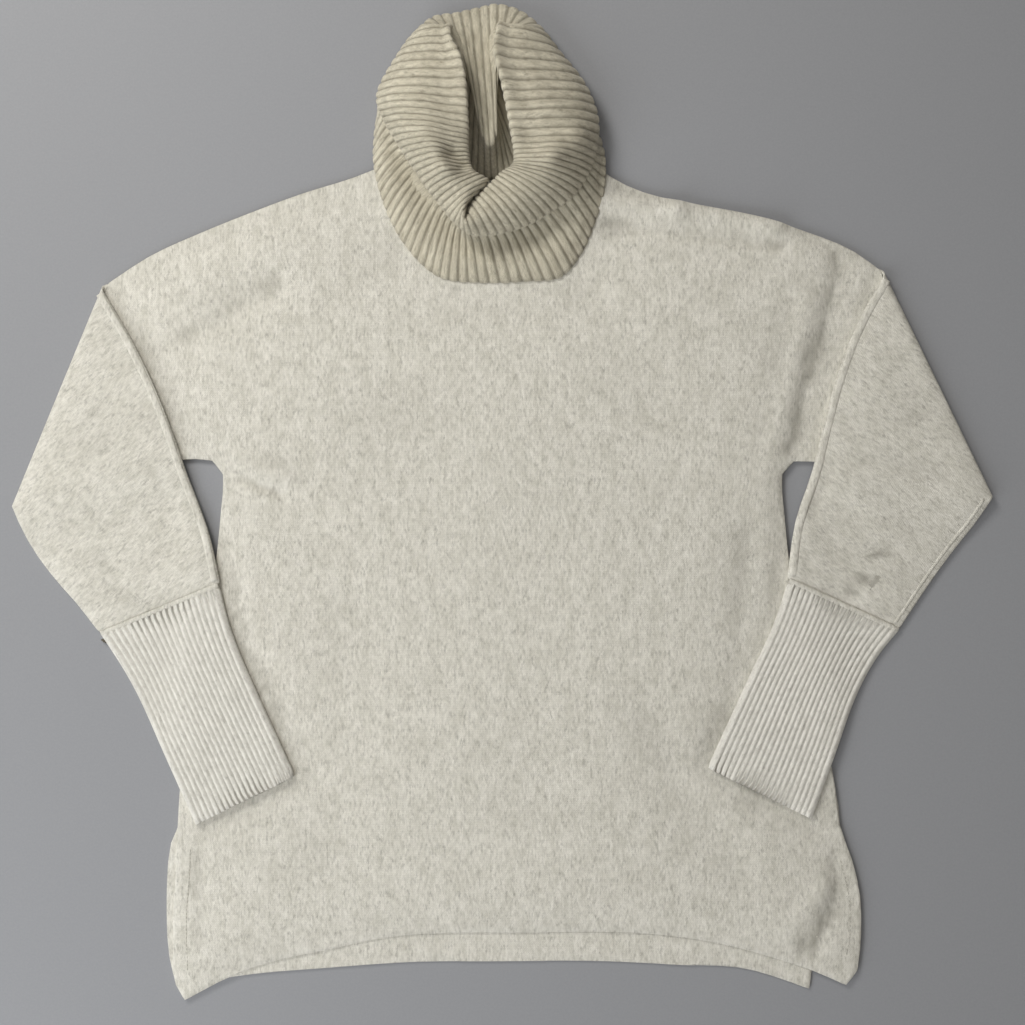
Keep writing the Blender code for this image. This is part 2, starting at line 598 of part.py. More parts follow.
def cowl_rows(shares):
    """The cowl's inner wall, roll and band as rows of points, from the neck seam to the free edge."""
    turn = 2 * math.pi * shares
    front = np.cos(turn)
    neck = np.column_stack([
        NECK_SEAM["x"] - NECK_SEAM["half_width"] * np.sin(turn),
        NECK_SEAM["y"] - NECK_SEAM["half_depth"] * front,
    ])
    lip = closed_line(COWL_LIP, ("x", "y", "z"), shares)
    edge = closed_line(COWL_ROLL_EDGE, ("x", "y"), shares)
    free = closed_line(COWL_FREE_EDGE, ("x", "y"), shares)
    lip_height = lip[:, 2]
    lip = lip[:, :2]
    crest = 40.0 + 10.0 * front - 6.0 * np.cos(2 * turn)
    edge_height = 20.0 + 9.0 * front
    overhang = 1.0 - smooth_step((np.abs(np.mod(shares + 0.5, 1.0) - 0.5) - 0.17) / 0.11)
    inward = lip - edge
    inward /= np.linalg.norm(inward, axis=1)[:, None]
    low = low_outline("front")
    on_body = 1.0 - smooth_step((distance_outside(free, low) - DROP_START) / 12.0)
    base = (FRONT_TOP + SEAM_GAP) * on_body
    free = free + (1.0 - overhang)[:, None] * 4.0 * inward

    def between(a, b, part):
        return a + part * (b - a)

    seam_height = np.full(len(shares), FRONT_TOP + SEAM_GAP)
    band = 14.0 + 2.0 * front
    free_height = base + RIBBING * overhang + 0.2
    tucked = edge_height - 14.0
    rows = [
        (neck, seam_height),
        (between(neck, lip, 0.5), between(seam_height, lip_height, 0.32)),
        (between(neck, lip, 0.85), between(seam_height, lip_height, 0.7)),
        (lip, lip_height),
        (between(lip, edge, 0.2), between(lip_height, crest, 0.72)),
        (between(lip, edge, 0.5), crest),
        (between(lip, edge, 0.8), between(crest, edge_height, 0.38)),
        (edge, edge_height),
        (edge + inward * (4.5 * overhang)[:, None], edge_height - 7.0 * overhang - 2.0),
        (edge + inward * (5.0 * overhang)[:, None],
         between(edge_height * 0.7, np.maximum(tucked, 14.0), overhang)),
        (between(edge, free, (0.30 - 0.20 * overhang)[:, None]),
         between(edge_height * 0.55, band, overhang)),
        (between(edge, free, 0.60), between(edge_height * 0.3, band - 2.0, overhang)),
        (free, free_height),
    ]
    grid = np.array([np.column_stack([plan, height]) for plan, height in rows])
    return grid, overhang, base


def grid_normals(grid):
    """Unit normals of a grid of points that closes along its second axis, pointing outward."""
    along = np.gradient(grid, axis=0)
    around = (np.roll(grid, -1, axis=1) - np.roll(grid, 1, axis=1)) / 2
    normal = np.cross(around, along)
    return normal / np.linalg.norm(normal, axis=2)[..., None]


def make_cowl():
    """The turned-down cowl, ribbed on the side that shows over a plain hidden side."""
    columns = COWL_RIBS * POINTS_PER_RIB
    shares = np.arange(columns) / columns
    grid, overhang, base = cowl_rows(shares)
    normal = grid_normals(grid)
    relief = RIB_RELIEF * rib_profile(np.arange(columns) / POINTS_PER_RIB)
    ribbed = grid + normal * relief[None, :, None]
    ribbed[0] = grid[0]
    ribbed[-1] = grid[-1] + normal[-1] * (relief * 0.5)[:, None] * np.array([1.0, 1.0, 0.0])

    every = slice(1, None, POINTS_PER_RIB)
    plain = grid[:, every] - normal[:, every] * RIBBING
    plain[0, :, 2] = grid[0, every, 2]
    plain[-1, :, 2] = base[every]
    plain[:, :, 2] = np.maximum(plain[:, :, 2], base[every][None, :])
    rows = len(grid)
    count = COWL_RIBS
    points = np.concatenate([ribbed.reshape(-1, 3), plain.reshape(-1, 3)])
    start = rows * columns
    faces = ring_tube(rows, 0, columns, False)
    faces += ring_tube(rows, start, count, True)
    first_cap = bridge_rings(0, start, columns, count)
    last_cap = bridge_rings((rows - 1) * columns, start + (rows - 1) * count, columns, count)
    faces += [tuple(reversed(face)) for face in first_cap]
    faces += last_cap
    return points, faces


def make_object(name, points, faces):
    """A smooth-shaded mesh object from millimetre points, with its own wool material."""
    mesh = bpy.data.meshes.new(name)
    mesh.from_pydata((points * MILLIMETRE).tolist(), [], faces)
    mesh.validate()
    mesh.shade_smooth()
    mesh.set_sharp_from_angle(angle=math.radians(50))
    obj = bpy.data.objects.new(name, mesh)
    bpy.context.scene.collection.objects.link(obj)
    material = bpy.data.materials.new(name + "_wool")
    material.use_nodes = True
    shader = material.node_tree.nodes["Principled BSDF"]
    shader.inputs["Base Color"].default_value = PIECE_COLOURS[name]
    shader.inputs["Roughness"].default_value = WOOL_ROUGHNESS
    shader.inputs["Metallic"].default_value = 0.0
    mesh.materials.append(material)
    return obj


def centre_on_origin(objects):
    """Moves the meshes together, so that the origin is the middle of their footprint."""
    corners = [vertex.co for obj in objects for vertex in obj.data.vertices]
    low = Vector([min(corner[axis] for corner in corners) for axis in range(3)])
    high = Vector([max(corner[axis] for corner in corners) for axis in range(3)])
    shift = Vector((-(low.x + high.x) / 2, -(low.y + high.y) / 2, -low.z))
    for obj in objects:
        for vertex in obj.data.vertices:
            vertex.co += shift


def main():
    for obj in list(bpy.data.objects):
        bpy.data.objects.remove(obj, do_unlink=True)
    pieces = {
        "back_panel": make_panel("back", BACK_BEND, 4),
        "front_panel": make_panel("front", FRONT_BEND, 2),
        "cuff_left": make_cuff("left"),
        "cuff_right": make_cuff("right"),
        "cowl_collar": make_cowl(),
    }
    objects = [make_object(name, points, faces) for name, (points, faces) in pieces.items()]
    centre_on_origin(objects)


main()
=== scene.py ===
# %% [markdown]
# A cowl neck sweater, laid flat with its sleeves folded over its front.
# The imported solids are the fixed frame: they carry the true sizes, and every
# cloth shell below takes its form from them. Lengths are in metres, +Y runs to the neck.

# %% Load the frame
import math

import bpy
import numpy as np
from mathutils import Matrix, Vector
from mathutils.bvhtree import BVHTree


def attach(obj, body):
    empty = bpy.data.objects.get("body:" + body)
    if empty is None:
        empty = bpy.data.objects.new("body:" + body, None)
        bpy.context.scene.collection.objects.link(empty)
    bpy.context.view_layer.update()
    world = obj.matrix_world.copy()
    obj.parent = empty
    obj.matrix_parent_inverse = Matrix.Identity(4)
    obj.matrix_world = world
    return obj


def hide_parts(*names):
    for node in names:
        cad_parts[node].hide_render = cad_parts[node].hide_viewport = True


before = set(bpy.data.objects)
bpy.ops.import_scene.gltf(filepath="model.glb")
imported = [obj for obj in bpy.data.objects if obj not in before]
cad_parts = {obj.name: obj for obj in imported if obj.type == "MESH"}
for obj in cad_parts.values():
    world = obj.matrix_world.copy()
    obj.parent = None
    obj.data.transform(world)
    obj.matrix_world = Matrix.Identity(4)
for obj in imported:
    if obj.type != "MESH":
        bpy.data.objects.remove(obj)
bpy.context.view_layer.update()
print("nodes:", sorted(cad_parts))

# %% [markdown]
# The sweater was measured in millimetres, x from its centre line and y from the lowest
# point of its hem. One value turns such a place into this scene's metres, so that tables
# below can stay in the units of a tape measure.

# %% Units and helpers
MM = 0.001
PLAN_CENTRE = np.array([0.3, 426.0])
JERSEY = 1.8 * MM
RIBBING = 2.2 * MM


def place(points):
    """Scene x and y, in metres, of plan points measured in millimetres."""
    return (np.asarray(points, float) - PLAN_CENTRE) * MM


def smooth_step(value):
    """0 below 0, 1 above 1, and an S-shaped rise between them."""
    value = np.clip(value, 0.0, 1.0)
    return value * value * (3.0 - 2.0 * value)


def deselect():
    """Leaves object mode with nothing selected."""
    if bpy.context.mode != "OBJECT":
        bpy.ops.object.mode_set(mode="OBJECT")
    bpy.ops.object.select_all(action="DESELECT")


def activate(obj):
    """Makes an object the only selected one."""
    deselect()
    obj.select_set(True)
    bpy.context.view_layer.objects.active = obj


def points_of(obj, kind="co"):
    """The vertices of a mesh object, or their normals, as rows of x, y, z."""
    rows = np.empty(len(obj.data.vertices) * 3)
    obj.data.vertices.foreach_get(kind, rows)
    return rows.reshape(-1, 3)


def set_points(obj, points):
    """Writes rows of x, y, z back to a mesh object."""
    obj.data.vertices.foreach_set("co", np.ascontiguousarray(points).ravel())
    obj.data.update()


def add_mesh(name, points, faces):
    """A smooth mesh object from points and faces."""
    mesh = bpy.data.meshes.new(name)
    mesh.from_pydata(np.asarray(points).tolist(), [], faces)
    mesh.validate()
    mesh.shade_smooth()
    obj = bpy.data.objects.new(name, mesh)
    bpy.context.scene.collection.objects.link(obj)
    return obj


def set_knit(obj, values):
    """Keeps, for each point, its place on the flat knitting: across the wales, then along them."""
    layer = obj.data.attributes.new("knit", "FLOAT_VECTOR", "POINT")
    layer.data.foreach_set("vector", np.ascontiguousarray(values, dtype=np.float32).ravel())


def set_value(obj, name, values):
    """Keeps one number for each point under a name."""
    layer = obj.data.attributes.new(name, "FLOAT", "POINT")
    layer.data.foreach_set("value", np.ascontiguousarray(values, dtype=np.float32))


def set_hollow_shade(obj, rounds, depth, flatten=0.0):
    """Keeps how deep each point lies below the smoothed cloth around it, as the amount of painted shade in
    its hollows, and can flatten that relief.
    """
    points = points_of(obj)
    count = len(points)
    ends = np.empty(len(obj.data.edges) * 2, int)
    obj.data.edges.foreach_get("vertices", ends)
    first, second = ends[0::2], ends[1::2]
    weight = np.maximum(np.bincount(ends, minlength=count), 1)[:, None]
    smooth = points.copy()
    for _ in range(rounds):
        total = np.column_stack([
            np.bincount(first, smooth[second, axis], count)
            + np.bincount(second, smooth[first, axis], count) for axis in range(3)])
        smooth = 0.5 * smooth + 0.5 * total / weight
    normals = points_of(obj, "normal")
    below = ((smooth - points) * normals).sum(axis=1)
    if flatten:
        near = np.clip(below, -depth, depth)
        set_points(obj, points + normals * (flatten * near)[:, None])
    set_value(obj, "painted_shade", np.clip(below / depth, 0.0, 1.0))


def hermite(knots, values, at):
    """Cubic curve through values at rising knots, with the slope of its neighbours' chord."""
    knots = np.asarray(knots, float)
    values = np.asarray(values, float).reshape(len(knots), -1)
    slopes = np.gradient(values, knots, axis=0)
    at = np.asarray(at, float)
    span = np.clip(np.searchsorted(knots, at, side="right") - 1, 0, len(knots) - 2)
    width = (knots[span + 1] - knots[span])[:, None]
    part = (at[:, None] - knots[span][:, None]) / width
    square = part * part
    cube = square * part
    return (
        (2 * cube - 3 * square + 1) * values[span]
        + (cube - 2 * square + part) * width * slopes[span]
        + (3 * square - 2 * cube) * values[span + 1]
        + (cube - square) * width * slopes[span + 1]
    )


def even_path(points, step=None, count=None):
    """A smooth line through points, cut into even steps or into a given count of points."""
    points = np.asarray(points, float)
    chords = np.linalg.norm(np.diff(points, axis=0), axis=1)
    knots = np.concatenate([[0.0], np.cumsum(chords)])
    fine = hermite(knots, points, np.linspace(0.0, knots[-1], 40 * len(points)))
    lengths = np.concatenate([[0.0], np.cumsum(np.linalg.norm(np.diff(fine, axis=0), axis=1))])
    if count is None:
        count = max(2, int(round(lengths[-1] / step)) + 1)
    at = np.linspace(0.0, lengths[-1], count)
    return np.column_stack([np.interp(at, lengths, fine[:, axis]) for axis in range(points.shape[1])])


def distance_outside(points, polygon):
    """Distance of each point from a closed polygon, negative inside it."""
    start = np.asarray(polygon, float)
    end = np.roll(start, -1, axis=0)
    edge = end - start
    length = np.maximum((edge * edge).sum(axis=1), 1e-12)
    nearest = np.full(len(points), 1e9)
    inside = np.zeros(len(points), bool)
    for a, b, e, squared in zip(start, end, edge, length):
        offset = points - a
        along = np.clip(offset @ e / squared, 0.0, 1.0)
        nearest = np.minimum(nearest, np.linalg.norm(offset - along[:, None] * e, axis=1))
        rises = (a[1] > points[:, 1]) != (b[1] > points[:, 1])
        height = e[1] if abs(e[1]) > 1e-12 else 1e-12
        crossing = a[0] + (points[:, 1] - a[1]) * e[0] / height
        inside ^= rises & (points[:, 0] < crossing)
    return np.where(inside, -nearest, nearest)


# %% [markdown]
# Each sleeve is folded forward over the front along a straight crease. The crease and the
# edges of the folded stretch are needed to place soft folds and seams, so they are written
# down once for each side.

# %% Sleeve sizes
SLEEVES = {
    "left": {
        "shoulder": (-343, 612),
        "elbow": (-419, 427),
        "inner_edge": [(-343, 612), (-316, 566), (-295, 522), (-280, 483), (-267, 445),
                       (-251, 403), (-241, 359)],
        "outer_edge": [(-419, 427), (-406, 395), (-383, 362), (-366, 343), (-345, 316)],
        "cuff_inner": [(-241, 358), (-234, 326), (-216, 281), (-203, 252), (-189, 222), (-176, 194)],
        "cuff_outer": [(-345, 315), (-326, 287), (-309, 256), (-300, 235), (-281, 195), (-262, 152)],
    },
    "right": {
        "shoulder": (328, 624),
        "elbow": (420, 434),
        "inner_edge": [(328, 624), (303, 579), (285, 531), (274, 490), (264, 449),
                       (252, 415), (244, 363)],
        "outer_edge": [(420, 434), (402, 406), (387, 387), (373, 368), (340, 319)],
        "cuff_inner": [(244, 362), (232, 322), (221, 300), (204, 264), (189, 231), (175, 201)],
        "cuff_outer": [(341, 318), (320, 294), (311, 277), (302, 259), (288, 220), (265, 157)],
    },
}


def sleeve_outline(side, outer, inner):
    """Plan outline, in metres, of what lies between two named lines of a sleeve."""
    sleeve = SLEEVES[side]
    edges = [even_path(sleeve[outer], 12), even_path(sleeve[inner], 12)[::-1]]
    return place(np.concatenate(edges))


def crease_frame(side):
    """A sleeve crease's upper end and the direction out of the garment."""
    shoulder = place(SLEEVES[side]["shoulder"])
    elbow = place(SLEEVES[side]["elbow"])
    along = (elbow - shoulder) / np.linalg.norm(elbow - shoulder)
    out = np.array([-along[1], along[0]])
    if out[0] * shoulder[0] < 0:
        out = -out
    return shoulder, out


for side in SLEEVES:
    print(side, "crease length:", round(float(np.linalg.norm(
        place(SLEEVES[side]["elbow"]) - place(SLEEVES[side]["shoulder"]))), 3))

# %% [markdown]
# Knitted cloth is a thin, rounded shell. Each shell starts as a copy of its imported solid:
# the loose triangles are merged, turned back into quads and rounded by subdivision, which
# is how a coarse wall becomes soft cloth without leaving the solid's form.

# %% Copy a solid as a soft shell
SHARP_ANGLE = 58
EDGE_CREASE = 0.85
LAYER_TOP = 3.9 * MM
LOFT_LIMIT = 3.5 * MM
BACK_TOP = 1.8 * MM


def soft_shell(node, name, levels):
    """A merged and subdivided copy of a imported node, which replaces that node."""
    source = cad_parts[node]
    shell = source.copy()
    shell.data = source.data.copy()
    shell.name = name
    shell.data.name = name
    bpy.context.scene.collection.objects.link(shell)
    activate(shell)
    bpy.ops.object.mode_set(mode="EDIT")
    bpy.ops.mesh.select_all(action="SELECT")
    bpy.ops.mesh.remove_doubles(threshold=0.000002)
    bpy.ops.mesh.tris_convert_to_quads(
        face_threshold=math.radians(30), shape_threshold=math.radians(60))
    bpy.ops.mesh.select_all(action="DESELECT")
    bpy.ops.mesh.edges_select_sharp(sharpness=math.radians(SHARP_ANGLE))
    bpy.ops.transform.edge_crease(value=EDGE_CREASE)
    bpy.ops.object.mode_set(mode="OBJECT")
    smooth = shell.modifiers.new("round", "SUBSURF")
    smooth.levels = levels
    smooth.render_levels = levels
    bpy.ops.object.modifier_apply(modifier=smooth.name)
    shell.data.materials.clear()
    bpy.ops.object.shade_smooth()
    return shell


front = soft_shell("front_panel", "front_cloth", 2)
back = soft_shell("back_panel", "back_cloth", 2)
for shell in (front, back):
    print(shell.name, "faces:", len(shell.data.polygons))

# %% [markdown]
# A worn-in knit never lies dead flat. Its folds are soft troughs and ridges, uneven in
# length and depth. They are listed and added together as a height over the plan,
# which moves both faces of the cloth at once, so that the wall keeps its thickness.

# %% Soft folds
BODY_FOLDS = [
    {"from": (-196, 612), "to": (-268, 572), "width": 13, "height": -2.6},
    {"from": (-182, 655), "to": (-250, 622), "width": 16, "height": 1.4},
    {"from": (-232, 452), "to": (-192, 436), "width": 5, "height": -2.6},
    {"from": (-226, 464), "to": (-186, 448), "width": 6, "height": 1.8},
    {"from": (-236, 420), "to": (-216, 300), "width": 10, "height": 1.2},
    {"from": (92, 684), "to": (150, 679), "width": 8, "height": 4.6},
    {"from": (150, 679), "to": (236, 664), "width": 9, "height": 4.6},
    {"from": (96, 664), "to": (236, 648), "width": 8, "height": -3.6},
    {"from": (226, 662), "to": (292, 622), "width": 12, "height": 1.8},
    {"from": (290, 634), "to": (292, 604), "width": 9, "height": -4.2},
    {"from": (292, 604), "to": (270, 548), "width": 11, "height": -4.6},
    {"from": (270, 548), "to": (258, 500), "width": 10, "height": -4.6},
    {"from": (258, 500), "to": (244, 476), "width": 8, "height": -2.8},
    {"from": (262, 600), "to": (234, 470), "width": 12, "height": 3.0},
    {"from": (312, 622), "to": (300, 580), "width": 8, "height": 1.8},
    {"from": (226, 452), "to": (228, 330), "width": 9, "height": 1.6},
    {"from": (205, 400), "to": (198, 250), "width": 13, "height": -1.6},
    {"from": (-95, 640), "to": (-150, 600), "width": 20, "height": -0.9},
    {"from": (70, 600), "to": (120, 520), "width": 26, "height": -0.9},
    {"from": (-140, 330), "to": (-160, 120), "width": 36, "height": -1.3},
    {"from": (40, 420), "to": (20, 180), "width": 40, "height": -1.0},
    {"from": (120, 240), "to": (190, 110), "width": 24, "height": -1.3},
    {"from": (150, 250), "to": (220, 130), "width": 18, "height": 1.2},
    {"from": (287, 122), "to": (292, 94), "width": 7, "height": -2.6},
    {"from": (292, 94), "to": (262, 46), "width": 8, "height": -4.2},
    {"from": (276, 100), "to": (244, 62), "width": 10, "height": 2.0},
    {"from": (-262, 126), "to": (-258, 50), "width": 6, "height": -1.4},
]
SLEEVE_FOLDS = [
    {"from": (298, 350), "to": (321, 384), "width": 4.5, "height": -3.2},
    {"from": (308, 345), "to": (331, 378), "width": 6, "height": 2.2},
    {"from": (259, 380), "to": (262, 366), "width": 6, "height": -1.6},
    {"from": (340, 575), "to": (352, 500), "width": 18, "height": -1.0},
    {"from": (300, 470), "to": (372, 452), "width": 16, "height": -1.4},
    {"from": (296, 535), "to": (286, 494), "width": 5, "height": -1.8},
    {"from": (286, 494), "to": (276, 452), "width": 6, "height": -2.2},
    {"from": (276, 452), "to": (264, 416), "width": 6, "height": -1.8},
    {"from": (300, 440), "to": (330, 400), "width": 12, "height": 1.2},
    {"from": (-330, 560), "to": (-352, 480), "width": 18, "height": -1.0},
    {"from": (-300, 440), "to": (-368, 420), "width": 20, "height": -1.2},
    {"from": (-316, 520), "to": (-288, 430), "width": 9, "height": -1.0},
    {"from": (-330, 350), "to": (-345, 380), "width": 10, "height": -1.0},
    {"from": (-270, 380), "to": (-310, 352), "width": 12, "height": 1.0},
]


def fold_height(plan, folds):
    """Sum of soft folds, in metres, at plan points in metres."""
    height = np.zeros(len(plan))
    for fold in folds:
        start = place(fold["from"])
        edge = place(fold["to"]) - start
        along = np.clip((plan - start) @ edge / (edge @ edge), 0.0, 1.0)
        away = np.linalg.norm(plan - start - along[:, None] * edge, axis=1)
        height += fold["height"] * MM * np.exp(-((away / (fold["width"] * MM)) ** 2))
    return height


def slack(plan, size):
    """Broad, uneven waves of slack cloth, between -1 and 1."""
    x = plan[:, 0] / 0.11
    y = plan[:, 1] / 0.13
    wave = np.sin(1.7 * x + 0.9 * y + 0.6) * np.sin(1.1 * y - 0.5 * x + 1.9)
    wave = wave + 0.6 * np.sin(2.9 * x - 1.6 * y + 2.2) * np.sin(2.3 * y + 0.8)
    return size * wave / 1.6


BODY_OUTLINE = [
    (-272, 1), (-281, 18), (-282, 52), (-280, 104), (-278, 150), (-269, 230), (-252, 330),
    (-241, 418), (-239, 452), (-261, 465), (-301, 459), (-361, 442), (-343, 612), (-300, 640),
    (-258, 659), (-216, 676), (-167, 694), (-128, 706), (-98, 718), (80, 716), (126, 692),
    (161, 684), (217, 673), (263, 659), (300, 644), (328, 624), (358, 447), (294, 459),
    (265, 463), (245, 461), (242, 418), (254, 330), (276, 230), (290, 150), (307, 91),
    (308, 66), (304, 25), (295, 14), (241, 35), (149, 56), (18, 59), (-92, 56), (-205, 32),
]
LOOSE = 2.3 * MM
LOOSE_FADE = 34 * MM
BODY_SLACK = 0.9 * MM
COVER_CLEAR = 4 * MM
COVER_FADE = 22 * MM
SLEEVE_LOOSE = 1.9 * MM
SLEEVE_FADE = 16 * MM
SLEEVE_SLACK = 0.5 * MM
flaps = {side: sleeve_outline(side, "outer_edge", "inner_edge") for side in SLEEVES}
cuffs = {side: sleeve_outline(side, "cuff_outer", "cuff_inner") for side in SLEEVES}


def upward(shell):
    """Which points of a shell face up."""
    return points_of(shell, "normal")[:, 2] > 0


def lift_body(shell):
    """Adds the body's folds where nothing lies on the front."""
    points = points_of(shell)
    plan = points[:, :2]
    fade = np.ones(len(plan))
    for cover in list(flaps.values()) + list(cuffs.values()):
        fade *= smooth_step((distance_outside(plan, cover) - COVER_CLEAR) / COVER_FADE)
    loose = smooth_step(-distance_outside(plan, place(BODY_OUTLINE)) / LOOSE_FADE)
    waves = slack(plan, BODY_SLACK) * loose + LOOSE * loose
    height = fade * (fold_height(plan, BODY_FOLDS) + waves)
    rest = np.where(upward(shell), LAYER_TOP, LAYER_TOP - JERSEY)
    body = points[:, 2] < LAYER_TOP + LOFT_LIMIT
    lifted = np.maximum(points[:, 2] + height, np.minimum(points[:, 2], rest))
    points[:, 2] = np.where(body, lifted, points[:, 2])
    set_points(shell, points)


def lift_sleeves(shell, floor):
    """Adds the folded sleeves' slack to the layers that lie above a height on the flaps."""
    points = points_of(shell)
    plan = points[:, :2]
    for outline in flaps.values():
        fade = smooth_step(-distance_outside(plan, outline) / SLEEVE_FADE)
        folds = fold_height(plan, SLEEVE_FOLDS) + slack(plan, SLEEVE_SLACK)
        height = np.maximum(SLEEVE_LOOSE + folds, 0.0)
        points[:, 2] += np.where(points[:, 2] > floor, fade * height, 0.0)
    set_points(shell, points)


lift_body(front)
lift_sleeves(back, BACK_TOP + 0.15 * MM)
lift_sleeves(front, LAYER_TOP + 0.5 * MM)
print("front top:", round(float(points_of(front)[:, 2].max()), 4))

# %% [markdown]
# Heather streaks follow the wales of the knitting, and turn with the cloth where a sleeve
# is folded. So each point also keeps its place on the flat knitting: where a point lies on
# a folded sleeve, that place is mirrored across the crease.

# %% Where each point lies on the flat knitting
FLAP_MARGIN = 6 * MM
PANEL_SMOOTHING = 4
PANEL_HOLLOW = 1.2 * MM


def knit_panel(shell, floor):
    """Stores the flat-knit place of a panel's points, unfolding its sleeves."""
    points = points_of(shell)
    knit = points.copy()
    for side, outline in flaps.items():
        shoulder, out = crease_frame(side)
        plan = points[:, :2]
        inward = -(plan - shoulder) @ out
        on_flap = (distance_outside(plan, outline) < FLAP_MARGIN) & (points[:, 2] > floor)
        knit[:, :2] = np.where(on_flap[:, None], plan + 2 * inward[:, None] * out, knit[:, :2])
    set_knit(shell, knit)


knit_panel(back, BACK_TOP + 0.15 * MM)
knit_panel(front, LAYER_TOP + 0.4 * MM)
# Both panels are darkened where they lie in hollows: painted shade.
for shell in (front, back):
    set_hollow_shade(shell, PANEL_SMOOTHING, PANEL_HOLLOW)

# %% [markdown]
# The cuffs are long ribbed tubes, pressed flat. Their solids already carry the ribs, and
# subdivision rounds them. Their flat-knit place runs across and along each tube.

# %% Cuffs
CUFF_SMOOTHING = 10
CUFF_HOLLOW = 0.5 * MM
CUFF_FLATTEN = 0.62
cuff_shells = {}
for side in SLEEVES:
    shell = soft_shell("cuff_" + side, "cuff_cloth_" + side, 2)
    sleeve = SLEEVES[side]
    top = place((np.array(sleeve["cuff_inner"][0]) + sleeve["cuff_outer"][0]) / 2)
    end = place((np.array(sleeve["cuff_inner"][-1]) + sleeve["cuff_outer"][-1]) / 2)
    along = (end - top) / np.linalg.norm(end - top)
    across = np.array([-along[1], along[0]])
    points = points_of(shell)
    offset = points[:, :2] - top
    set_knit(shell, np.column_stack([offset @ across, offset @ along, points[:, 2]]))
    # The grooves between the ribs are darkened as painted shade, and the ribs' relief is partly flattened.
    set_hollow_shade(shell, CUFF_SMOOTHING, CUFF_HOLLOW, CUFF_FLATTEN)
    cuff_shells[side] = shell
    print(shell.name, "length:", round(float(np.linalg.norm(end - top)), 3))

# %% [markdown]
# The cowl is one tube of ribbing, turned down and slumped. It is built from three closed
# lines round the neck: the free edge, the edge of the roll above it, and the lip of the
# opening. Rows between them make the roll, the tuck under it and the band, and a wall gives
# the cloth its thickness. Ribs are raised on the side that shows.

# %% Cowl lines
COWL_RIBS = 80
POINTS_PER_RIB = 7
COWL_ROWS = 60
RIB_RELIEF = 1.25 * MM
COWL_FREE_EDGE = [
    {"share": 0.000, "x": -20, "y": 616}, {"share": 0.048, "x": -52, "y": 620},
    {"share": 0.082, "x": -70, "y": 633}, {"share": 0.122, "x": -87, "y": 654},
    {"share": 0.181, "x": -103, "y": 689}, {"share": 0.231, "x": -112, "y": 721},
    {"share": 0.269, "x": -113, "y": 746}, {"share": 0.314, "x": -106, "y": 776},
    {"share": 0.367, "x": -89, "y": 806}, {"share": 0.414, "x": -71, "y": 830},
    {"share": 0.441, "x": -57, "y": 841}, {"share": 0.470, "x": -39, "y": 844},
    {"share": 0.500, "x": -20, "y": 848}, {"share": 0.523, "x": -4, "y": 851},
    {"share": 0.546, "x": 13, "y": 847}, {"share": 0.574, "x": 30, "y": 835},
    {"share": 0.616, "x": 49, "y": 811}, {"share": 0.660, "x": 70, "y": 785},
    {"share": 0.709, "x": 84, "y": 754}, {"share": 0.748, "x": 91, "y": 726},
    {"share": 0.787, "x": 89, "y": 697}, {"share": 0.829, "x": 79, "y": 667},
    {"share": 0.869, "x": 68, "y": 641}, {"share": 0.904, "x": 51, "y": 621},
    {"share": 0.945, "x": 21, "y": 617},
]
COWL_ROLL_EDGE = [
    {"share": 0.000, "x": -25, "y": 652}, {"share": 0.030, "x": -37, "y": 660},
    {"share": 0.080, "x": -52, "y": 678}, {"share": 0.118, "x": -63, "y": 692},
    {"share": 0.167, "x": -76, "y": 712}, {"share": 0.210, "x": -87, "y": 730},
    {"share": 0.250, "x": -97, "y": 748}, {"share": 0.310, "x": -104, "y": 775},
    {"share": 0.360, "x": -90, "y": 804}, {"share": 0.410, "x": -73, "y": 828},
    {"share": 0.440, "x": -58, "y": 840}, {"share": 0.470, "x": -38, "y": 843},
    {"share": 0.500, "x": -19, "y": 847}, {"share": 0.524, "x": -4, "y": 850},
    {"share": 0.548, "x": 13, "y": 846}, {"share": 0.576, "x": 30, "y": 834},
    {"share": 0.617, "x": 49, "y": 810}, {"share": 0.660, "x": 69, "y": 783},
    {"share": 0.705, "x": 80, "y": 753}, {"share": 0.750, "x": 78, "y": 724},
    {"share": 0.800, "x": 70, "y": 702}, {"share": 0.838, "x": 59, "y": 686},
    {"share": 0.875, "x": 42, "y": 673}, {"share": 0.911, "x": 24, "y": 662},
    {"share": 0.948, "x": 5, "y": 655}, {"share": 0.974, "x": -10, "y": 652},
]
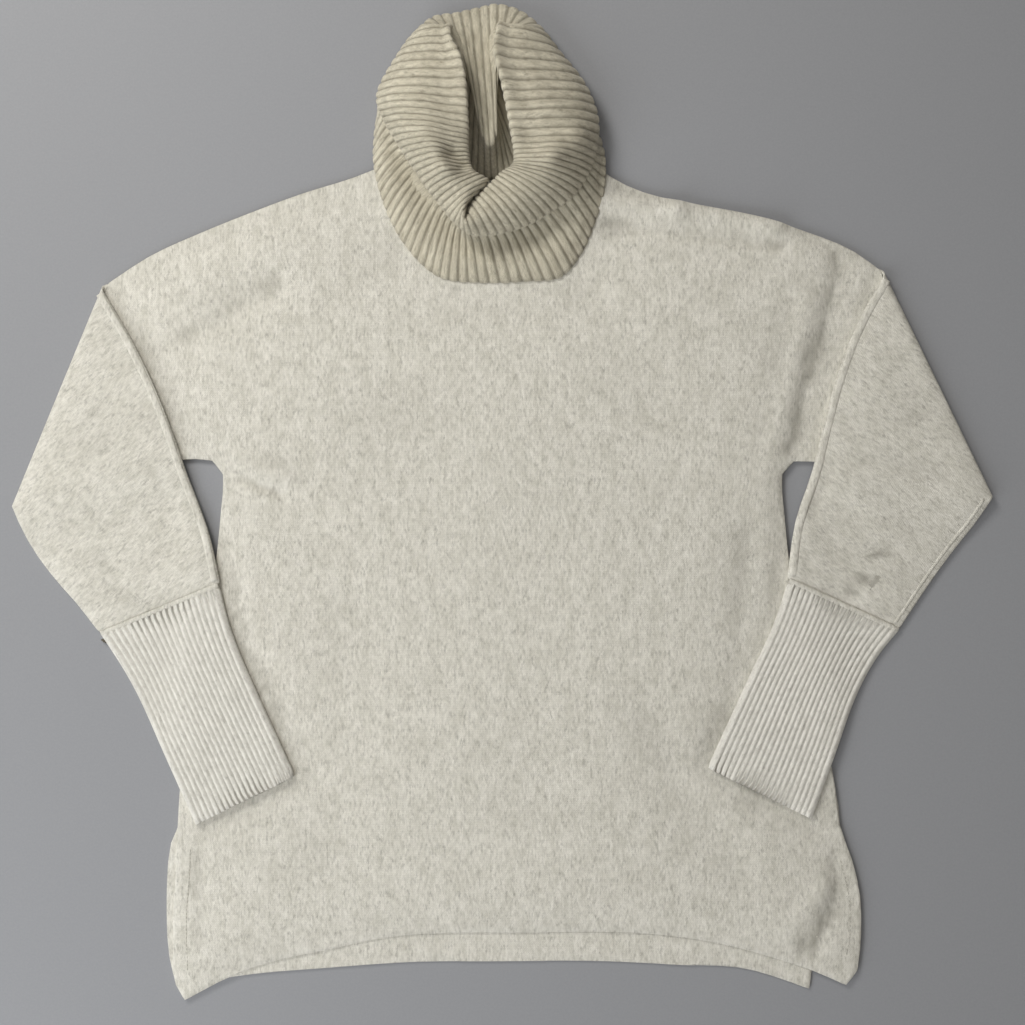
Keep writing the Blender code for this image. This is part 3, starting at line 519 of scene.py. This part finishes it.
COWL_LIP = [
    {"share": 0.008, "x": -31, "y": 665, "z": 33}, {"share": 0.025, "x": -29, "y": 676, "z": 33},
    {"share": 0.045, "x": -20, "y": 686, "z": 35}, {"share": 0.066, "x": -12, "y": 695, "z": 36},
    {"share": 0.090, "x": -19, "y": 699, "z": 37}, {"share": 0.122, "x": -24, "y": 703, "z": 37},
    {"share": 0.165, "x": -27, "y": 712, "z": 39}, {"share": 0.215, "x": -28, "y": 724, "z": 40},
    {"share": 0.262, "x": -28, "y": 740, "z": 42}, {"share": 0.300, "x": -29, "y": 761, "z": 43},
    {"share": 0.333, "x": -31, "y": 783, "z": 43}, {"share": 0.362, "x": -36, "y": 801, "z": 41},
    {"share": 0.388, "x": -43, "y": 816, "z": 36}, {"share": 0.408, "x": -42, "y": 826, "z": 27},
    {"share": 0.426, "x": -34, "y": 812, "z": 20}, {"share": 0.447, "x": -27, "y": 786, "z": 20},
    {"share": 0.467, "x": -21, "y": 758, "z": 23}, {"share": 0.484, "x": -16, "y": 739, "z": 24},
    {"share": 0.500, "x": -10, "y": 730, "z": 24}, {"share": 0.516, "x": -5, "y": 739, "z": 24},
    {"share": 0.531, "x": -6, "y": 759, "z": 20}, {"share": 0.547, "x": -12, "y": 780, "z": 16},
    {"share": 0.563, "x": -15, "y": 798, "z": 14}, {"share": 0.579, "x": -11, "y": 816, "z": 17},
    {"share": 0.594, "x": -3, "y": 828, "z": 27}, {"share": 0.609, "x": -4, "y": 818, "z": 36},
    {"share": 0.628, "x": -6, "y": 804, "z": 41}, {"share": 0.656, "x": -1, "y": 781, "z": 43},
    {"share": 0.690, "x": 4, "y": 757, "z": 43}, {"share": 0.727, "x": 8, "y": 735, "z": 42},
    {"share": 0.785, "x": 11, "y": 712, "z": 40}, {"share": 0.885, "x": -2, "y": 699, "z": 38},
    {"share": 0.930, "x": -13, "y": 688, "z": 37}, {"share": 0.970, "x": -24, "y": 677, "z": 35},
]
NECK_SEAM = {"x": -9, "y": 694, "half_width": 80, "front_depth": 26, "back_depth": 11, "z": 4.2}
SHOULDER_LINE_Y = 722.0
OVERHANG = {"reach": 0.17, "fade": 0.11, "right_reach": 0.09, "right_fade": 0.1}
FREE_EDGE_INWARD = 4.0
ROLL_START = 22 * MM
ROLL_FADE = 8 * MM
RIB_PITCH = 7.8 * MM
GROOVE_WIDTH = 0.42


def closed_line(rows, columns, shares):
    """Values of the named columns of a closed line at the given shares of the way round."""
    knots = np.array([row["share"] for row in rows])
    values = np.array([[row[name] for name in columns] for row in rows], float)
    knots = np.concatenate([knots[-2:] - 1.0, knots, knots[:2] + 1.0])
    values = np.concatenate([values[-2:], values, values[:2]])
    return hermite(knots, values, np.mod(shares, 1.0))


# %% [markdown]
# Thirteen rows describe the cloth from the neck seam, up the inside, over the roll, under
# its edge and down the band. Under the front the roll overhangs; at the back it does not.

# %% Cowl rows
def between(a, b, part):
    """The value a part of the way from a to b."""
    return a + part * (b - a)


def cowl_rows(shares):
    """The cowl's rows of points, in millimetres, and the height of what it rests on."""
    turn = 2 * math.pi * shares
    front_part = np.cos(turn)
    neck = np.column_stack([
        NECK_SEAM["x"] - NECK_SEAM["half_width"] * np.sin(turn),
        NECK_SEAM["y"] - np.where(front_part > 0, NECK_SEAM["front_depth"],
                                  NECK_SEAM["back_depth"]) * front_part,
    ])
    lip = closed_line(COWL_LIP, ("x", "y", "z"), shares)
    edge = closed_line(COWL_ROLL_EDGE, ("x", "y"), shares)
    free = closed_line(COWL_FREE_EDGE, ("x", "y"), shares)
    lip_height = lip[:, 2]
    lip = lip[:, :2]
    crest = 40.0 + 10.0 * front_part - 6.0 * np.cos(2 * turn)
    edge_height = 20.0 + 9.0 * front_part
    side_share = np.mod(shares + 0.5, 1.0) - 0.5
    overhang = 1.0 - smooth_step((np.abs(side_share) - OVERHANG["reach"]) / OVERHANG["fade"])
    right_end = smooth_step((-side_share - OVERHANG["right_reach"]) / OVERHANG["right_fade"])
    tuck = overhang * (1.0 - right_end)
    inward = lip - edge
    inward /= np.linalg.norm(inward, axis=1)[:, None]
    base = NECK_SEAM["z"] * (1.0 - smooth_step((free[:, 1] - SHOULDER_LINE_Y) / 12.0))
    free = free + (1.0 - overhang)[:, None] * FREE_EDGE_INWARD * inward
    seam_height = np.full(len(shares), NECK_SEAM["z"])
    band = 14.0 + 2.0 * front_part
    free_height = base + 2.2 * overhang + 0.2
    rows = [
        (neck, seam_height),
        (between(neck, lip, 0.5), between(seam_height, lip_height, 0.32)),
        (between(neck, lip, 0.85), between(seam_height, lip_height, 0.7)),
        (lip, lip_height),
        (between(lip, edge, 0.2), between(lip_height, crest, 0.72)),
        (between(lip, edge, 0.5), crest),
        (between(lip, edge, 0.8), between(crest, edge_height, 0.38)),
        (edge, edge_height),
        (edge + inward * (4.5 * tuck)[:, None], edge_height - 7.0 * tuck - 2.0),
        (edge + inward * (5.0 * tuck)[:, None],
         between(edge_height * 0.8, np.maximum(edge_height - 14.0, 14.0), tuck)),
        (between(edge, free, (0.30 - 0.20 * tuck)[:, None]),
         between(np.maximum(edge_height * 0.62, band * overhang), band - 5.0, tuck)),
        (between(edge, free, 0.60),
         between(np.maximum(edge_height * 0.35, (band - 3.0) * overhang), band - 2.0, tuck)),
        (free, free_height),
    ]
    return np.array([np.column_stack([plan, height]) for plan, height in rows]), base


ROLL_FOLDS = [
    {"from": (-41, 714), "to": (-33, 706), "width": 8, "height": -8.0},
    {"from": (-62, 728), "to": (-48, 701), "width": 7, "height": 3.2},
    {"from": (-48, 701), "to": (-22, 701), "width": 6, "height": 2.6},
    {"from": (24, 730), "to": (44, 734), "width": 11, "height": -4.5},
    {"from": (12, 703), "to": (42, 712), "width": 8, "height": 3.0},
    {"from": (42, 712), "to": (66, 729), "width": 9, "height": 2.4},
    {"from": (-84, 700), "to": (-60, 668), "width": 7, "height": -2.5},
    {"from": (-70, 790), "to": (-50, 770), "width": 16, "height": -1.8},
    {"from": (30, 800), "to": (44, 776), "width": 14, "height": -1.6},
]


def grid_normals(grid):
    """Unit normals of a grid of points that closes along its second axis, pointing outward."""
    along = np.gradient(grid, axis=0)
    around = (np.roll(grid, -1, axis=1) - np.roll(grid, 1, axis=1)) / 2
    normal = np.cross(around, along)
    return normal / np.linalg.norm(normal, axis=2)[..., None]


def rib_profile(phase):
    """Height of a rounded rib, 0 in the groove and 1 on the ridge, at a phase in ribs."""
    return 1.0 - np.exp(-((np.sin(math.pi * phase) / GROOVE_WIDTH) ** 2))


# %% [markdown]
# The rows are read again along a smooth curve, so that sixty of them round the roll. The
# hidden side is the same surface, moved in by the thickness of the ribbing.

# %% Build the cowl
def make_cowl():
    """The cowl's closed wall, as an object, with its flat-knit places."""
    columns = COWL_RIBS * POINTS_PER_RIB
    shares = np.arange(columns) / columns
    coarse, base = cowl_rows(shares)
    knots = np.arange(len(coarse))
    at = np.linspace(0, len(coarse) - 1, COWL_ROWS)
    grid = hermite(knots, coarse.reshape(len(coarse), -1), at).reshape(COWL_ROWS, columns, 3)
    grid[:, :, :2] -= PLAN_CENTRE
    grid *= MM
    flat_plan = grid[:, :, :2].reshape(-1, 2)
    on_roll = smooth_step((grid[:, :, 2] - ROLL_START) / ROLL_FADE)
    grid[:, :, 2] += on_roll * fold_height(flat_plan, ROLL_FOLDS).reshape(COWL_ROWS, columns)
    normal = grid_normals(grid)
    phase = np.arange(columns) / POINTS_PER_RIB
    shown = grid + normal * (RIB_RELIEF * rib_profile(phase))[None, :, None]
    hidden = grid - normal * RIBBING
    floor = (base * MM)[None, :]
    hidden[:, :, 2] = np.maximum(hidden[:, :, 2], floor)
    shown[:, :, 2] = np.maximum(shown[:, :, 2], floor)
    points = np.concatenate([shown.reshape(-1, 3), hidden.reshape(-1, 3)])
    start = COWL_ROWS * columns
    faces = []
    for row in range(COWL_ROWS - 1):
        for column in range(columns):
            ahead = (column + 1) % columns
            a, b = row * columns + column, row * columns + ahead
            c, d = b + columns, a + columns
            faces.append((a, b, c, d))
            faces.append((start + a, start + d, start + c, start + b))
    last = (COWL_ROWS - 1) * columns
    for column in range(columns):
        ahead = (column + 1) % columns
        faces.append((ahead, column, start + column, start + ahead))
        faces.append((last + column, last + ahead, start + last + ahead, start + last + column))
    obj = add_mesh("cowl_cloth", points, faces)
    row_steps = np.linalg.norm(np.diff(grid, axis=0), axis=2).mean(axis=1)
    length = np.concatenate([[0.0], np.cumsum(row_steps)])
    knit = np.zeros((2, COWL_ROWS, columns, 3))
    knit[..., 0] = (shares * COWL_RIBS * RIB_PITCH)[None, None, :]
    knit[..., 1] = length[None, :, None]
    set_knit(obj, knit.reshape(-1, 3))
    # The grooves between the ribs on the shown side are darkened as painted shade.
    painted_shade = np.zeros((2, COWL_ROWS, columns))
    painted_shade[0] = (1.0 - rib_profile(phase))[None, :]
    set_value(obj, "painted_shade", painted_shade.ravel())
    return obj


cowl = make_cowl()
print("cowl faces:", len(cowl.data.polygons))

# %% [markdown]
# The overarm seam shows as a soft ridge a little inside the edge of each folded sleeve. It
# is a flattened cord that follows the cloth, found by looking straight down on it. Cords
# also join the cuffs to the sleeves and close the right underarm. The vents are turned in
# and held by a row of small stitches.

# %% Seams and stitches
def look_down(shell):
    """A search tree of a shell, for the height of its top under a plan point."""
    bpy.context.view_layer.update()
    return BVHTree.FromObject(shell, bpy.context.evaluated_depsgraph_get())


def top_height(trees, x, y):
    """The height of the uppermost cloth at a plan point."""
    hits = [tree.ray_cast(Vector((x, y, 0.2)), Vector((0.0, 0.0, -1.0)))[0] for tree in trees]
    return max([hit.z for hit in hits if hit is not None], default=0.0)


def heading(path):
    """Unit direction of a path at each of its points."""
    along = np.gradient(path, axis=0)
    return along / np.linalg.norm(along, axis=1)[:, None]


def to_left(path):
    """Unit direction to the left of a path at each of its points."""
    along = heading(path)
    return np.column_stack([-along[:, 1], along[:, 0]])


def offset_path(path, distance):
    """A path moved sideways, to its left for a positive distance."""
    return path + distance * to_left(path)


def spindle(path, heights, width, height, sides):
    """Points and faces of a flattened, tapered cord along a path."""
    across = to_left(path)
    taper = np.sin(math.pi * np.clip(np.linspace(0.04, 0.96, len(path)) * len(path) / 6, 0, 0.5))
    taper = np.minimum(taper, taper[::-1])
    turn = 2 * math.pi * np.arange(sides) / sides
    points = []
    for index in range(len(path)):
        side = np.cos(turn) * width / 2 * taper[index]
        rise = np.sin(turn) * height / 2 * taper[index]
        plan = path[index] + side[:, None] * across[index]
        points.append(np.column_stack([plan, heights[index] + rise]))
    faces = []
    for ring in range(len(path) - 1):
        for side in range(sides):
            a, b = ring * sides + side, ring * sides + (side + 1) % sides
            faces.append((a, b, b + sides, a + sides))
    faces.append(tuple(range(sides))[::-1])
    faces.append(tuple((len(path) - 1) * sides + side for side in range(sides)))
    return np.concatenate(points), faces


def make_seam(name, path, width, height, trees):
    """A soft seam ridge that lies on the cloth along a path."""
    beside = [offset_path(path, shift * width) for shift in (-0.4, 0.0, 0.4)]
    levels = np.max([[top_height(trees, x, y) for x, y in line] for line in beside], axis=0)
    levels = np.convolve(np.pad(levels, 2, mode="edge"), np.full(5, 0.2), mode="valid")
    points, faces = spindle(path, levels - 0.1 * height, width, height, 10)
    obj = add_mesh(name, points, faces)
    set_knit(obj, points)
    set_value(obj, "painted_shade", np.zeros(len(points)))
    return obj


def make_stitch_rows(name, paths, pitch, length, trees):
    """Rows of small raised stitches in one mesh."""
    points, faces, count = [], [], 0
    for path in paths:
        steps = even_path(path, pitch)
        for centre, along in zip(steps, heading(steps)):
            line = centre + np.linspace(-0.5, 0.5, 5)[:, None] * length * along
            levels = np.full(5, top_height(trees, *centre) + 0.1 * MM)
            more, loops = spindle(line, levels, 0.9 * MM, 0.7 * MM, 6)
            faces += [tuple(vertex + count for vertex in loop) for loop in loops]
            points.append(more)
            count += len(more)
    points = np.concatenate(points)
    obj = add_mesh(name, points, faces)
    set_knit(obj, points)
    # The stitches get an even painted shade, so that the row reads as a dark line.
    set_value(obj, "painted_shade", np.full(len(points), 0.55))
    return obj


trees = [look_down(shell) for shell in (back, front, cuff_shells["left"], cuff_shells["right"])]
seams = []
for side, direction in (("left", -1.0), ("right", 1.0)):
    inner = even_path(place(SLEEVES[side]["inner_edge"]), 2.5 * MM)[2:-1]
    seams.append(make_seam("overarm_seam_" + side, offset_path(inner, direction * 3.8 * MM),
                           6.0 * MM, 1.7 * MM, trees))
    sleeve = SLEEVES[side]
    joint = np.array([sleeve["cuff_inner"][0], sleeve["cuff_outer"][0]], float)
    joint = place(joint[0] + np.linspace(0.012, 0.988, 60)[:, None] * (joint[1] - joint[0]))
    seams.append(make_seam("cuff_seam_" + side, joint, 4.2 * MM, 1.3 * MM, trees))
outer = even_path(place(SLEEVES["right"]["outer_edge"]), 2.5 * MM)[3:-1]
seams.append(make_seam("underarm_seam_right", offset_path(outer, -6.0 * MM),
                       2.6 * MM, 0.9 * MM, trees))
VENT_EDGES = [
    [(-281, 28), (-282, 52), (-282, 77), (-280, 104), (-279, 130)],
    [(304, 36), (307, 52), (308, 66), (307, 91), (300, 122)],
]
vent_paths = [offset_path(even_path(place(edge), 3 * MM), inset)
              for edge, inset in zip(VENT_EDGES, (-12 * MM, 10 * MM))]
vent_stitches = make_stitch_rows("vent_stitches", vent_paths, 3.4 * MM, 2.6 * MM, trees)
print("seams:", [seam.name for seam in seams], "stitch faces:", len(vent_stitches.data.polygons))

# %% [markdown]
# A dark yarn end was left at the outer corner of the left cuff, where the seam was closed.
# It is a small ball with its sides pressed in, a few millimetres long.

# %% Yarn end
def make_yarn_end():
    """A small twisted knot of dark yarn."""
    deselect()
    bpy.ops.mesh.primitive_ico_sphere_add(subdivisions=3, radius=1.0, location=(0.0, 0.0, 0.0))
    obj = bpy.context.active_object
    obj.name = "yarn_end"
    points = points_of(obj)
    turn = 9.0 * points[:, 0]
    points[:, 1] += 0.25 * np.sin(turn)
    points[:, 2] += 0.25 * np.cos(turn)
    points *= np.array([3.4, 1.3, 1.2]) * MM
    tilt = math.radians(-28)
    x = points[:, 0] * math.cos(tilt) - points[:, 1] * math.sin(tilt)
    y = points[:, 0] * math.sin(tilt) + points[:, 1] * math.cos(tilt)
    centre = place((-341, 309))
    points = np.column_stack([x + centre[0], y + centre[1], points[:, 2] + 2.2 * MM])
    set_points(obj, points)
    bpy.ops.object.shade_smooth()
    set_knit(obj, points)
    set_value(obj, "painted_shade", np.zeros(len(points)))
    return obj


yarn_end = make_yarn_end()

# %% [markdown]
# The finishes are built from a few kinds of nodes again and again. These short functions
# make one node each, link it and give back its output, so that a shader reads like a sum.

# %% Shader helpers
def new_group(name, inputs, outputs):
    """An empty shader group with named float, colour or vector sockets."""
    group = bpy.data.node_groups.new(name, "ShaderNodeTree")
    for sockets, way in ((inputs, "INPUT"), (outputs, "OUTPUT")):
        for label, kind in sockets:
            group.interface.new_socket(name=label, in_out=way, socket_type=kind)
    start = group.nodes.new("NodeGroupInput")
    end = group.nodes.new("NodeGroupOutput")
    return group, start, end


def add_node(tree, kind, **settings):
    """A new node with its settings."""
    node = tree.nodes.new(kind)
    for key, value in settings.items():
        setattr(node, key, value)
    return node


def math_node(tree, operation, first, second=None, third=None):
    """A math node whose inputs are sockets or numbers; it gives back its output."""
    node = add_node(tree, "ShaderNodeMath", operation=operation)
    for index, value in enumerate((first, second, third)):
        if isinstance(value, (int, float)):
            node.inputs[index].default_value = value
        elif value is not None:
            tree.links.new(value, node.inputs[index])
    return node.outputs[0]


def noise(tree, vector, scale, detail, roughness=0.5):
    """Noise of a scale on a vector socket; it gives back its value."""
    node = add_node(tree, "ShaderNodeTexNoise")
    for label, value in (("Scale", scale), ("Detail", detail), ("Roughness", roughness)):
        node.inputs[label].default_value = value
    tree.links.new(vector, node.inputs["Vector"])
    return node.outputs["Fac"]


def stretched(tree, vector, across, along):
    """A vector scaled across and along the wales."""
    node = add_node(tree, "ShaderNodeMapping")
    node.inputs["Scale"].default_value = (across, along, 1.0)
    tree.links.new(vector, node.inputs["Vector"])
    return node.outputs["Vector"]


def band(tree, value, low, high):
    """0 below low, 1 above high, smooth between."""
    node = add_node(tree, "ShaderNodeMapRange", interpolation_type="SMOOTHSTEP")
    node.inputs["From Min"].default_value = low
    node.inputs["From Max"].default_value = high
    tree.links.new(value, node.inputs["Value"])
    return node.outputs["Result"]


def mix_colours(tree, factor, first, second):
    """Mixes two colour sockets by a factor socket; it gives back the colour."""
    node = add_node(tree, "ShaderNodeMix", data_type="RGBA")
    tree.links.new(factor, node.inputs["Factor"])
    for label, value in (("A", first), ("B", second)):
        socket = [s for s in node.inputs if s.name == label and s.type == "RGBA"][0]
        if isinstance(value, tuple):
            socket.default_value = value
        else:
            tree.links.new(value, socket)
    return [s for s in node.outputs if s.type == "RGBA"][0]


# %% [markdown]
# The yarn is heathered: pale fibres carded with some grey and brown ones, so that short
# darker flecks run along the wales over a broad, cloudy mottling. This is a node group,
# because jersey and ribbing share it with their own colours. Each row of the table is one
# noise, with its fineness across and along the wales and the values it fades between.

# %% Heather group
YARN_LAYERS = {
    "cloudy": {"across": 80, "along": 36, "detail": 4.0, "rough": 0.65, "low": 0.36, "high": 0.64},
    "streak": {"across": 360, "along": 130, "detail": 4.0, "rough": 0.65, "low": 0.34, "high": 0.66},
    "clump": {"across": 170, "along": 80, "detail": 3.0, "rough": 0.65, "low": 0.34, "high": 0.70},
    "dark": {"across": 480, "along": 170, "detail": 4.0, "rough": 0.7, "low": 0.40, "high": 0.72},
    "fleck": {"across": 760, "along": 300, "detail": 3.0, "rough": 0.75, "low": 0.54, "high": 0.80},
}
STREAK_SHARE = 0.6
DENSITY_RANGE = 0.62
DENSITY_LEAST = 0.16
GROOVE_SHADE = 0.62


def make_heather():
    """Colour of heathered yarn from a flat-knit place, with painted shade by how deep it lies in a groove.
    """
    colours = ("Pale", "Base", "Fleck", "Shade")
    group, start, end = new_group(
        "heather_yarn",
        [("Knit", "NodeSocketVector"), ("Hollow", "NodeSocketFloat")]
        + [(name, "NodeSocketColor") for name in colours],
        [("Color", "NodeSocketColor")],
    )

    def layer(name):
        row = YARN_LAYERS[name]
        vector = stretched(group, start.outputs["Knit"], row["across"], row["along"])
        value = noise(group, vector, 1.0, row["detail"], row["rough"])
        return band(group, value, row["low"], row["high"])

    cloudy = math_node(group, "MULTIPLY", layer("cloudy"), 1.0 - STREAK_SHARE)
    pale = math_node(group, "MULTIPLY_ADD", layer("streak"), STREAK_SHARE, cloudy)
    colour = mix_colours(group, pale, start.outputs["Base"], start.outputs["Pale"])
    density = math_node(group, "MULTIPLY_ADD", layer("clump"), DENSITY_RANGE, DENSITY_LEAST)
    darks = math_node(group, "MULTIPLY", layer("dark"), density)
    colour = mix_colours(group, darks, colour, start.outputs["Shade"])
    flecks = math_node(group, "MULTIPLY", layer("fleck"), density)
    colour = mix_colours(group, flecks, colour, start.outputs["Fleck"])
    # Points that lie deep in grooves and hollows are mixed towards the fleck colour as painted shade.
    painted_groove_shade = math_node(group, "MULTIPLY", start.outputs["Hollow"], GROOVE_SHADE)
    colour = mix_colours(group, painted_groove_shade, colour, start.outputs["Fleck"])
    group.links.new(colour, end.inputs["Color"])
    return group


# %% [markdown]
# Plain knitting shows columns of small V stitches, the wales. At arm's length they read as
# a fine vertical grain. The stitches are too many for solid form, so a second group gives
# their height to a Bump node, with a fuzz of loose fibre over them.

# %% Stitch group
STITCH_TILT = 1.5
LOOP_RELIEF = 0.22
WALE_RELIEF = 0.55
FUZZ_RELIEF = 1.1
FUZZ_FINENESS = {"across": 900, "along": 700}


def make_stitches():
    """Height of V stitches and fuzz from a flat-knit place."""
    group, start, end = new_group(
        "knit_stitches",
        [("Knit", "NodeSocketVector"), ("Wale", "NodeSocketFloat"), ("Course", "NodeSocketFloat")],
        [("Height", "NodeSocketFloat")],
    )
    parts = add_node(group, "ShaderNodeSeparateXYZ")
    group.links.new(start.outputs["Knit"], parts.inputs[0])
    across = math_node(group, "DIVIDE", parts.outputs[0], start.outputs["Wale"])
    saw = math_node(group, "PINGPONG", across, 0.5)
    tilt = math_node(group, "MULTIPLY", saw, STITCH_TILT)
    along = math_node(group, "DIVIDE", parts.outputs[1], start.outputs["Course"])
    phase = math_node(group, "ADD", along, tilt)
    turn = math_node(group, "MULTIPLY", phase, 2 * math.pi)
    loops = math_node(group, "SINE", turn)
    wale = math_node(group, "SINE", math_node(group, "MULTIPLY", saw, 2 * math.pi))
    stitch = math_node(group, "ADD", math_node(group, "MULTIPLY", loops, LOOP_RELIEF),
                       math_node(group, "MULTIPLY", wale, WALE_RELIEF))
    vector = stretched(group, start.outputs["Knit"], FUZZ_FINENESS["across"], FUZZ_FINENESS["along"])
    fuzz = noise(group, vector, 1.0, 4.0, 0.75)
    height = math_node(group, "ADD", stitch, math_node(group, "MULTIPLY", fuzz, FUZZ_RELIEF))
    group.links.new(height, end.inputs["Height"])
    return group


HEATHER = make_heather()
STITCHES = make_stitches()

# %% [markdown]
# A wool material reads the flat-knit place from the cloth's own attribute. Its sheen is the
# pale halo that loose fibres give at a grazing angle.

# %% Wool materials
WALE = 1.9 * MM
COURSE = 1.5 * MM
WOOL_FINISH = {"Roughness": 0.92, "Specular IOR Level": 0.15, "Sheen Weight": 0.25,
               "Sheen Roughness": 0.45, "Sheen Tint": (1.0, 0.97, 0.92, 1.0)}


def wool(name, pale, base, fleck, shade, depth=0.6 * MM):
    """A heathered wool material with its own yarn colours and depth of stitch."""
    material = bpy.data.materials.new(name)
    material.use_nodes = True
    tree = material.node_tree
    shader = tree.nodes["Principled BSDF"]
    for label, value in WOOL_FINISH.items():
        shader.inputs[label].default_value = value
    place_node = add_node(tree, "ShaderNodeAttribute", attribute_name="knit")
    colour = add_node(tree, "ShaderNodeGroup", node_tree=HEATHER)
    for label, value in (("Pale", pale), ("Base", base), ("Fleck", fleck), ("Shade", shade)):
        colour.inputs[label].default_value = value + (1.0,)
    tree.links.new(place_node.outputs["Vector"], colour.inputs["Knit"])
    # The cloth's painted shade for its grooves and hollows is read from its own attribute.
    painted_shade_node = add_node(tree, "ShaderNodeAttribute", attribute_name="painted_shade")
    tree.links.new(painted_shade_node.outputs["Fac"], colour.inputs["Hollow"])
    tree.links.new(colour.outputs["Color"], shader.inputs["Base Color"])
    stitches = add_node(tree, "ShaderNodeGroup", node_tree=STITCHES)
    stitches.inputs["Wale"].default_value = WALE
    stitches.inputs["Course"].default_value = COURSE
    tree.links.new(place_node.outputs["Vector"], stitches.inputs["Knit"])
    bump = add_node(tree, "ShaderNodeBump")
    bump.inputs["Strength"].default_value = 0.6
    bump.inputs["Distance"].default_value = depth
    tree.links.new(stitches.outputs["Height"], bump.inputs["Height"])
    tree.links.new(bump.outputs["Normal"], shader.inputs["Normal"])
    return material


jersey = wool("jersey_wool", (0.82, 0.795, 0.72), (0.61, 0.59, 0.515), (0.22, 0.205, 0.17),
              (0.32, 0.305, 0.265))
# The ribbing's colours are darker and warmer than the jersey's: partly the ribbing's own tone, partly
# painted shade for the dimmer light at the cowl.
ribbing = wool("ribbed_wool", (0.70, 0.655, 0.525), (0.48, 0.44, 0.34), (0.13, 0.115, 0.085),
               (0.25, 0.225, 0.17))
cuff_wool = wool("cuff_wool", (0.82, 0.80, 0.735), (0.68, 0.66, 0.60), (0.26, 0.245, 0.21),
                 (0.44, 0.42, 0.375))

# %% [markdown]
# The pieces are given to the frame: each takes its material, rides on the one rigid body
# and stands for its solid, which is hidden. The table also lists a finish slot, the flat size
# and area, how the cloth is held and what it rests on, which nothing below reads.

CLOTH = [
    {"piece": front, "node": "front_panel", "slot": "jersey_knit", "material": jersey,
     "flat": (1.17, 0.717), "area": 0.437, "held": "folded", "rests_on": ["back_cloth"]},
    {"piece": back, "node": "back_panel", "slot": "jersey_knit", "material": jersey,
     "flat": (1.182, 0.709), "area": 0.4525, "held": "folded", "rests_on": []},
    {"piece": cuff_shells["left"], "node": "cuff_left", "slot": "rib_knit", "material": cuff_wool,
     "flat": (0.216, 0.181), "area": None, "held": "laid", "rests_on": ["front_cloth"]},
    {"piece": cuff_shells["right"], "node": "cuff_right", "slot": "rib_knit", "material": cuff_wool,
     "flat": (0.216, 0.181), "area": None, "held": "laid", "rests_on": ["front_cloth"]},
    {"piece": cowl, "node": "cowl_collar", "slot": "rib_knit", "material": ribbing,
     "flat": (0.6, 0.2), "area": None, "held": "folded", "rests_on": ["front_cloth"]},
]
for cloth in CLOTH:
    piece = cloth["piece"]
    piece.data.materials.append(cloth["material"])
    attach(piece, "root")
    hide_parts(cloth["node"])
end_wool = wool("end_wool", (0.16, 0.14, 0.11), (0.09, 0.08, 0.06), (0.03, 0.027, 0.02),
                (0.05, 0.045, 0.035), 0.4 * MM)
for piece in seams + [vent_stitches, yarn_end]:
    piece.data.materials.append(end_wool if piece is yarn_end else jersey)
    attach(piece, "root")

# %% [markdown]
# The floor is plain and pale. The photograph was taken from straight above, so the camera
# looks straight down from a little over a metre, and its lens takes in the same frame.

# %% Floor and camera
CAMERA_HEIGHT = 1.05
FRAME_WIDTH = 0.8815
SENSOR = 36.0
CAMERA_PLAN = place((9.0, 419.25))


def make_floor():
    """A wide pale floor with a soft, fine grain."""
    deselect()
    bpy.ops.mesh.primitive_plane_add(size=8.0, location=(0.0, 0.0, -0.0004))
    floor = bpy.context.active_object
    floor.name = "floor"
    bpy.ops.object.transform_apply(location=True, rotation=True, scale=True)
    material = bpy.data.materials.new("floor_paint")
    material.use_nodes = True
    tree = material.node_tree
    shader = tree.nodes["Principled BSDF"]
    shader.inputs["Roughness"].default_value = 0.75
    coordinates = add_node(tree, "ShaderNodeTexCoord")
    grain = noise(tree, coordinates.outputs["Object"], 600.0, 2.0)
    colour = mix_colours(tree, grain, (0.26, 0.265, 0.28, 1.0), (0.295, 0.30, 0.315, 1.0))
    tree.links.new(colour, shader.inputs["Base Color"])
    floor.data.materials.append(material)
    return floor


make_floor()
camera_data = bpy.data.cameras.new("camera")
camera = bpy.data.objects.new("camera", camera_data)
bpy.context.scene.collection.objects.link(camera)
camera.location = (CAMERA_PLAN[0], CAMERA_PLAN[1], CAMERA_HEIGHT)
camera_data.sensor_width = SENSOR
camera_data.lens = SENSOR * CAMERA_HEIGHT / FRAME_WIDTH
bpy.context.scene.camera = camera
print("lens:", round(camera_data.lens, 1))

# %% [markdown]
# Soft light comes from the left, from a high and a low corner, and fades to the upper
# right. A lamp overhead and a dim, even surround fill the shadows.

# %% Light
LIGHTS = [
    {"name": "window", "at": (-0.85, 1.05, 1.1), "size": 0.6, "power": 17.0, "colour": (1.0, 0.98, 0.94)},
    {"name": "room", "at": (-1.15, -1.15, 0.95), "size": 1.5, "power": 25.0, "colour": (0.95, 0.975, 1.0)},
    {"name": "ceiling", "at": (-0.1, 0.0, 2.4), "size": 1.6, "power": 8.0, "colour": (1.0, 0.96, 0.89)},
]
for light in LIGHTS:
    data = bpy.data.lights.new(light["name"], "AREA")
    data.size = light["size"]
    data.energy = light["power"]
    data.color = light["colour"]
    lamp = bpy.data.objects.new(light["name"], data)
    bpy.context.scene.collection.objects.link(lamp)
    lamp.location = light["at"]
    aim = (Vector((0.0, 0.0, 0.0)) - lamp.location).to_track_quat("-Z", "Y")
    lamp.rotation_euler = aim.to_euler()
world = bpy.data.worlds.new("surround")
world.use_nodes = True
background = world.node_tree.nodes["Background"]
background.inputs["Color"].default_value = (1.0, 0.97, 0.93, 1.0)
background.inputs["Strength"].default_value = 0.2
bpy.context.scene.world = world
bpy.context.scene.view_settings.view_transform = "Standard"
print("lights:", [light["name"] for light in LIGHTS])
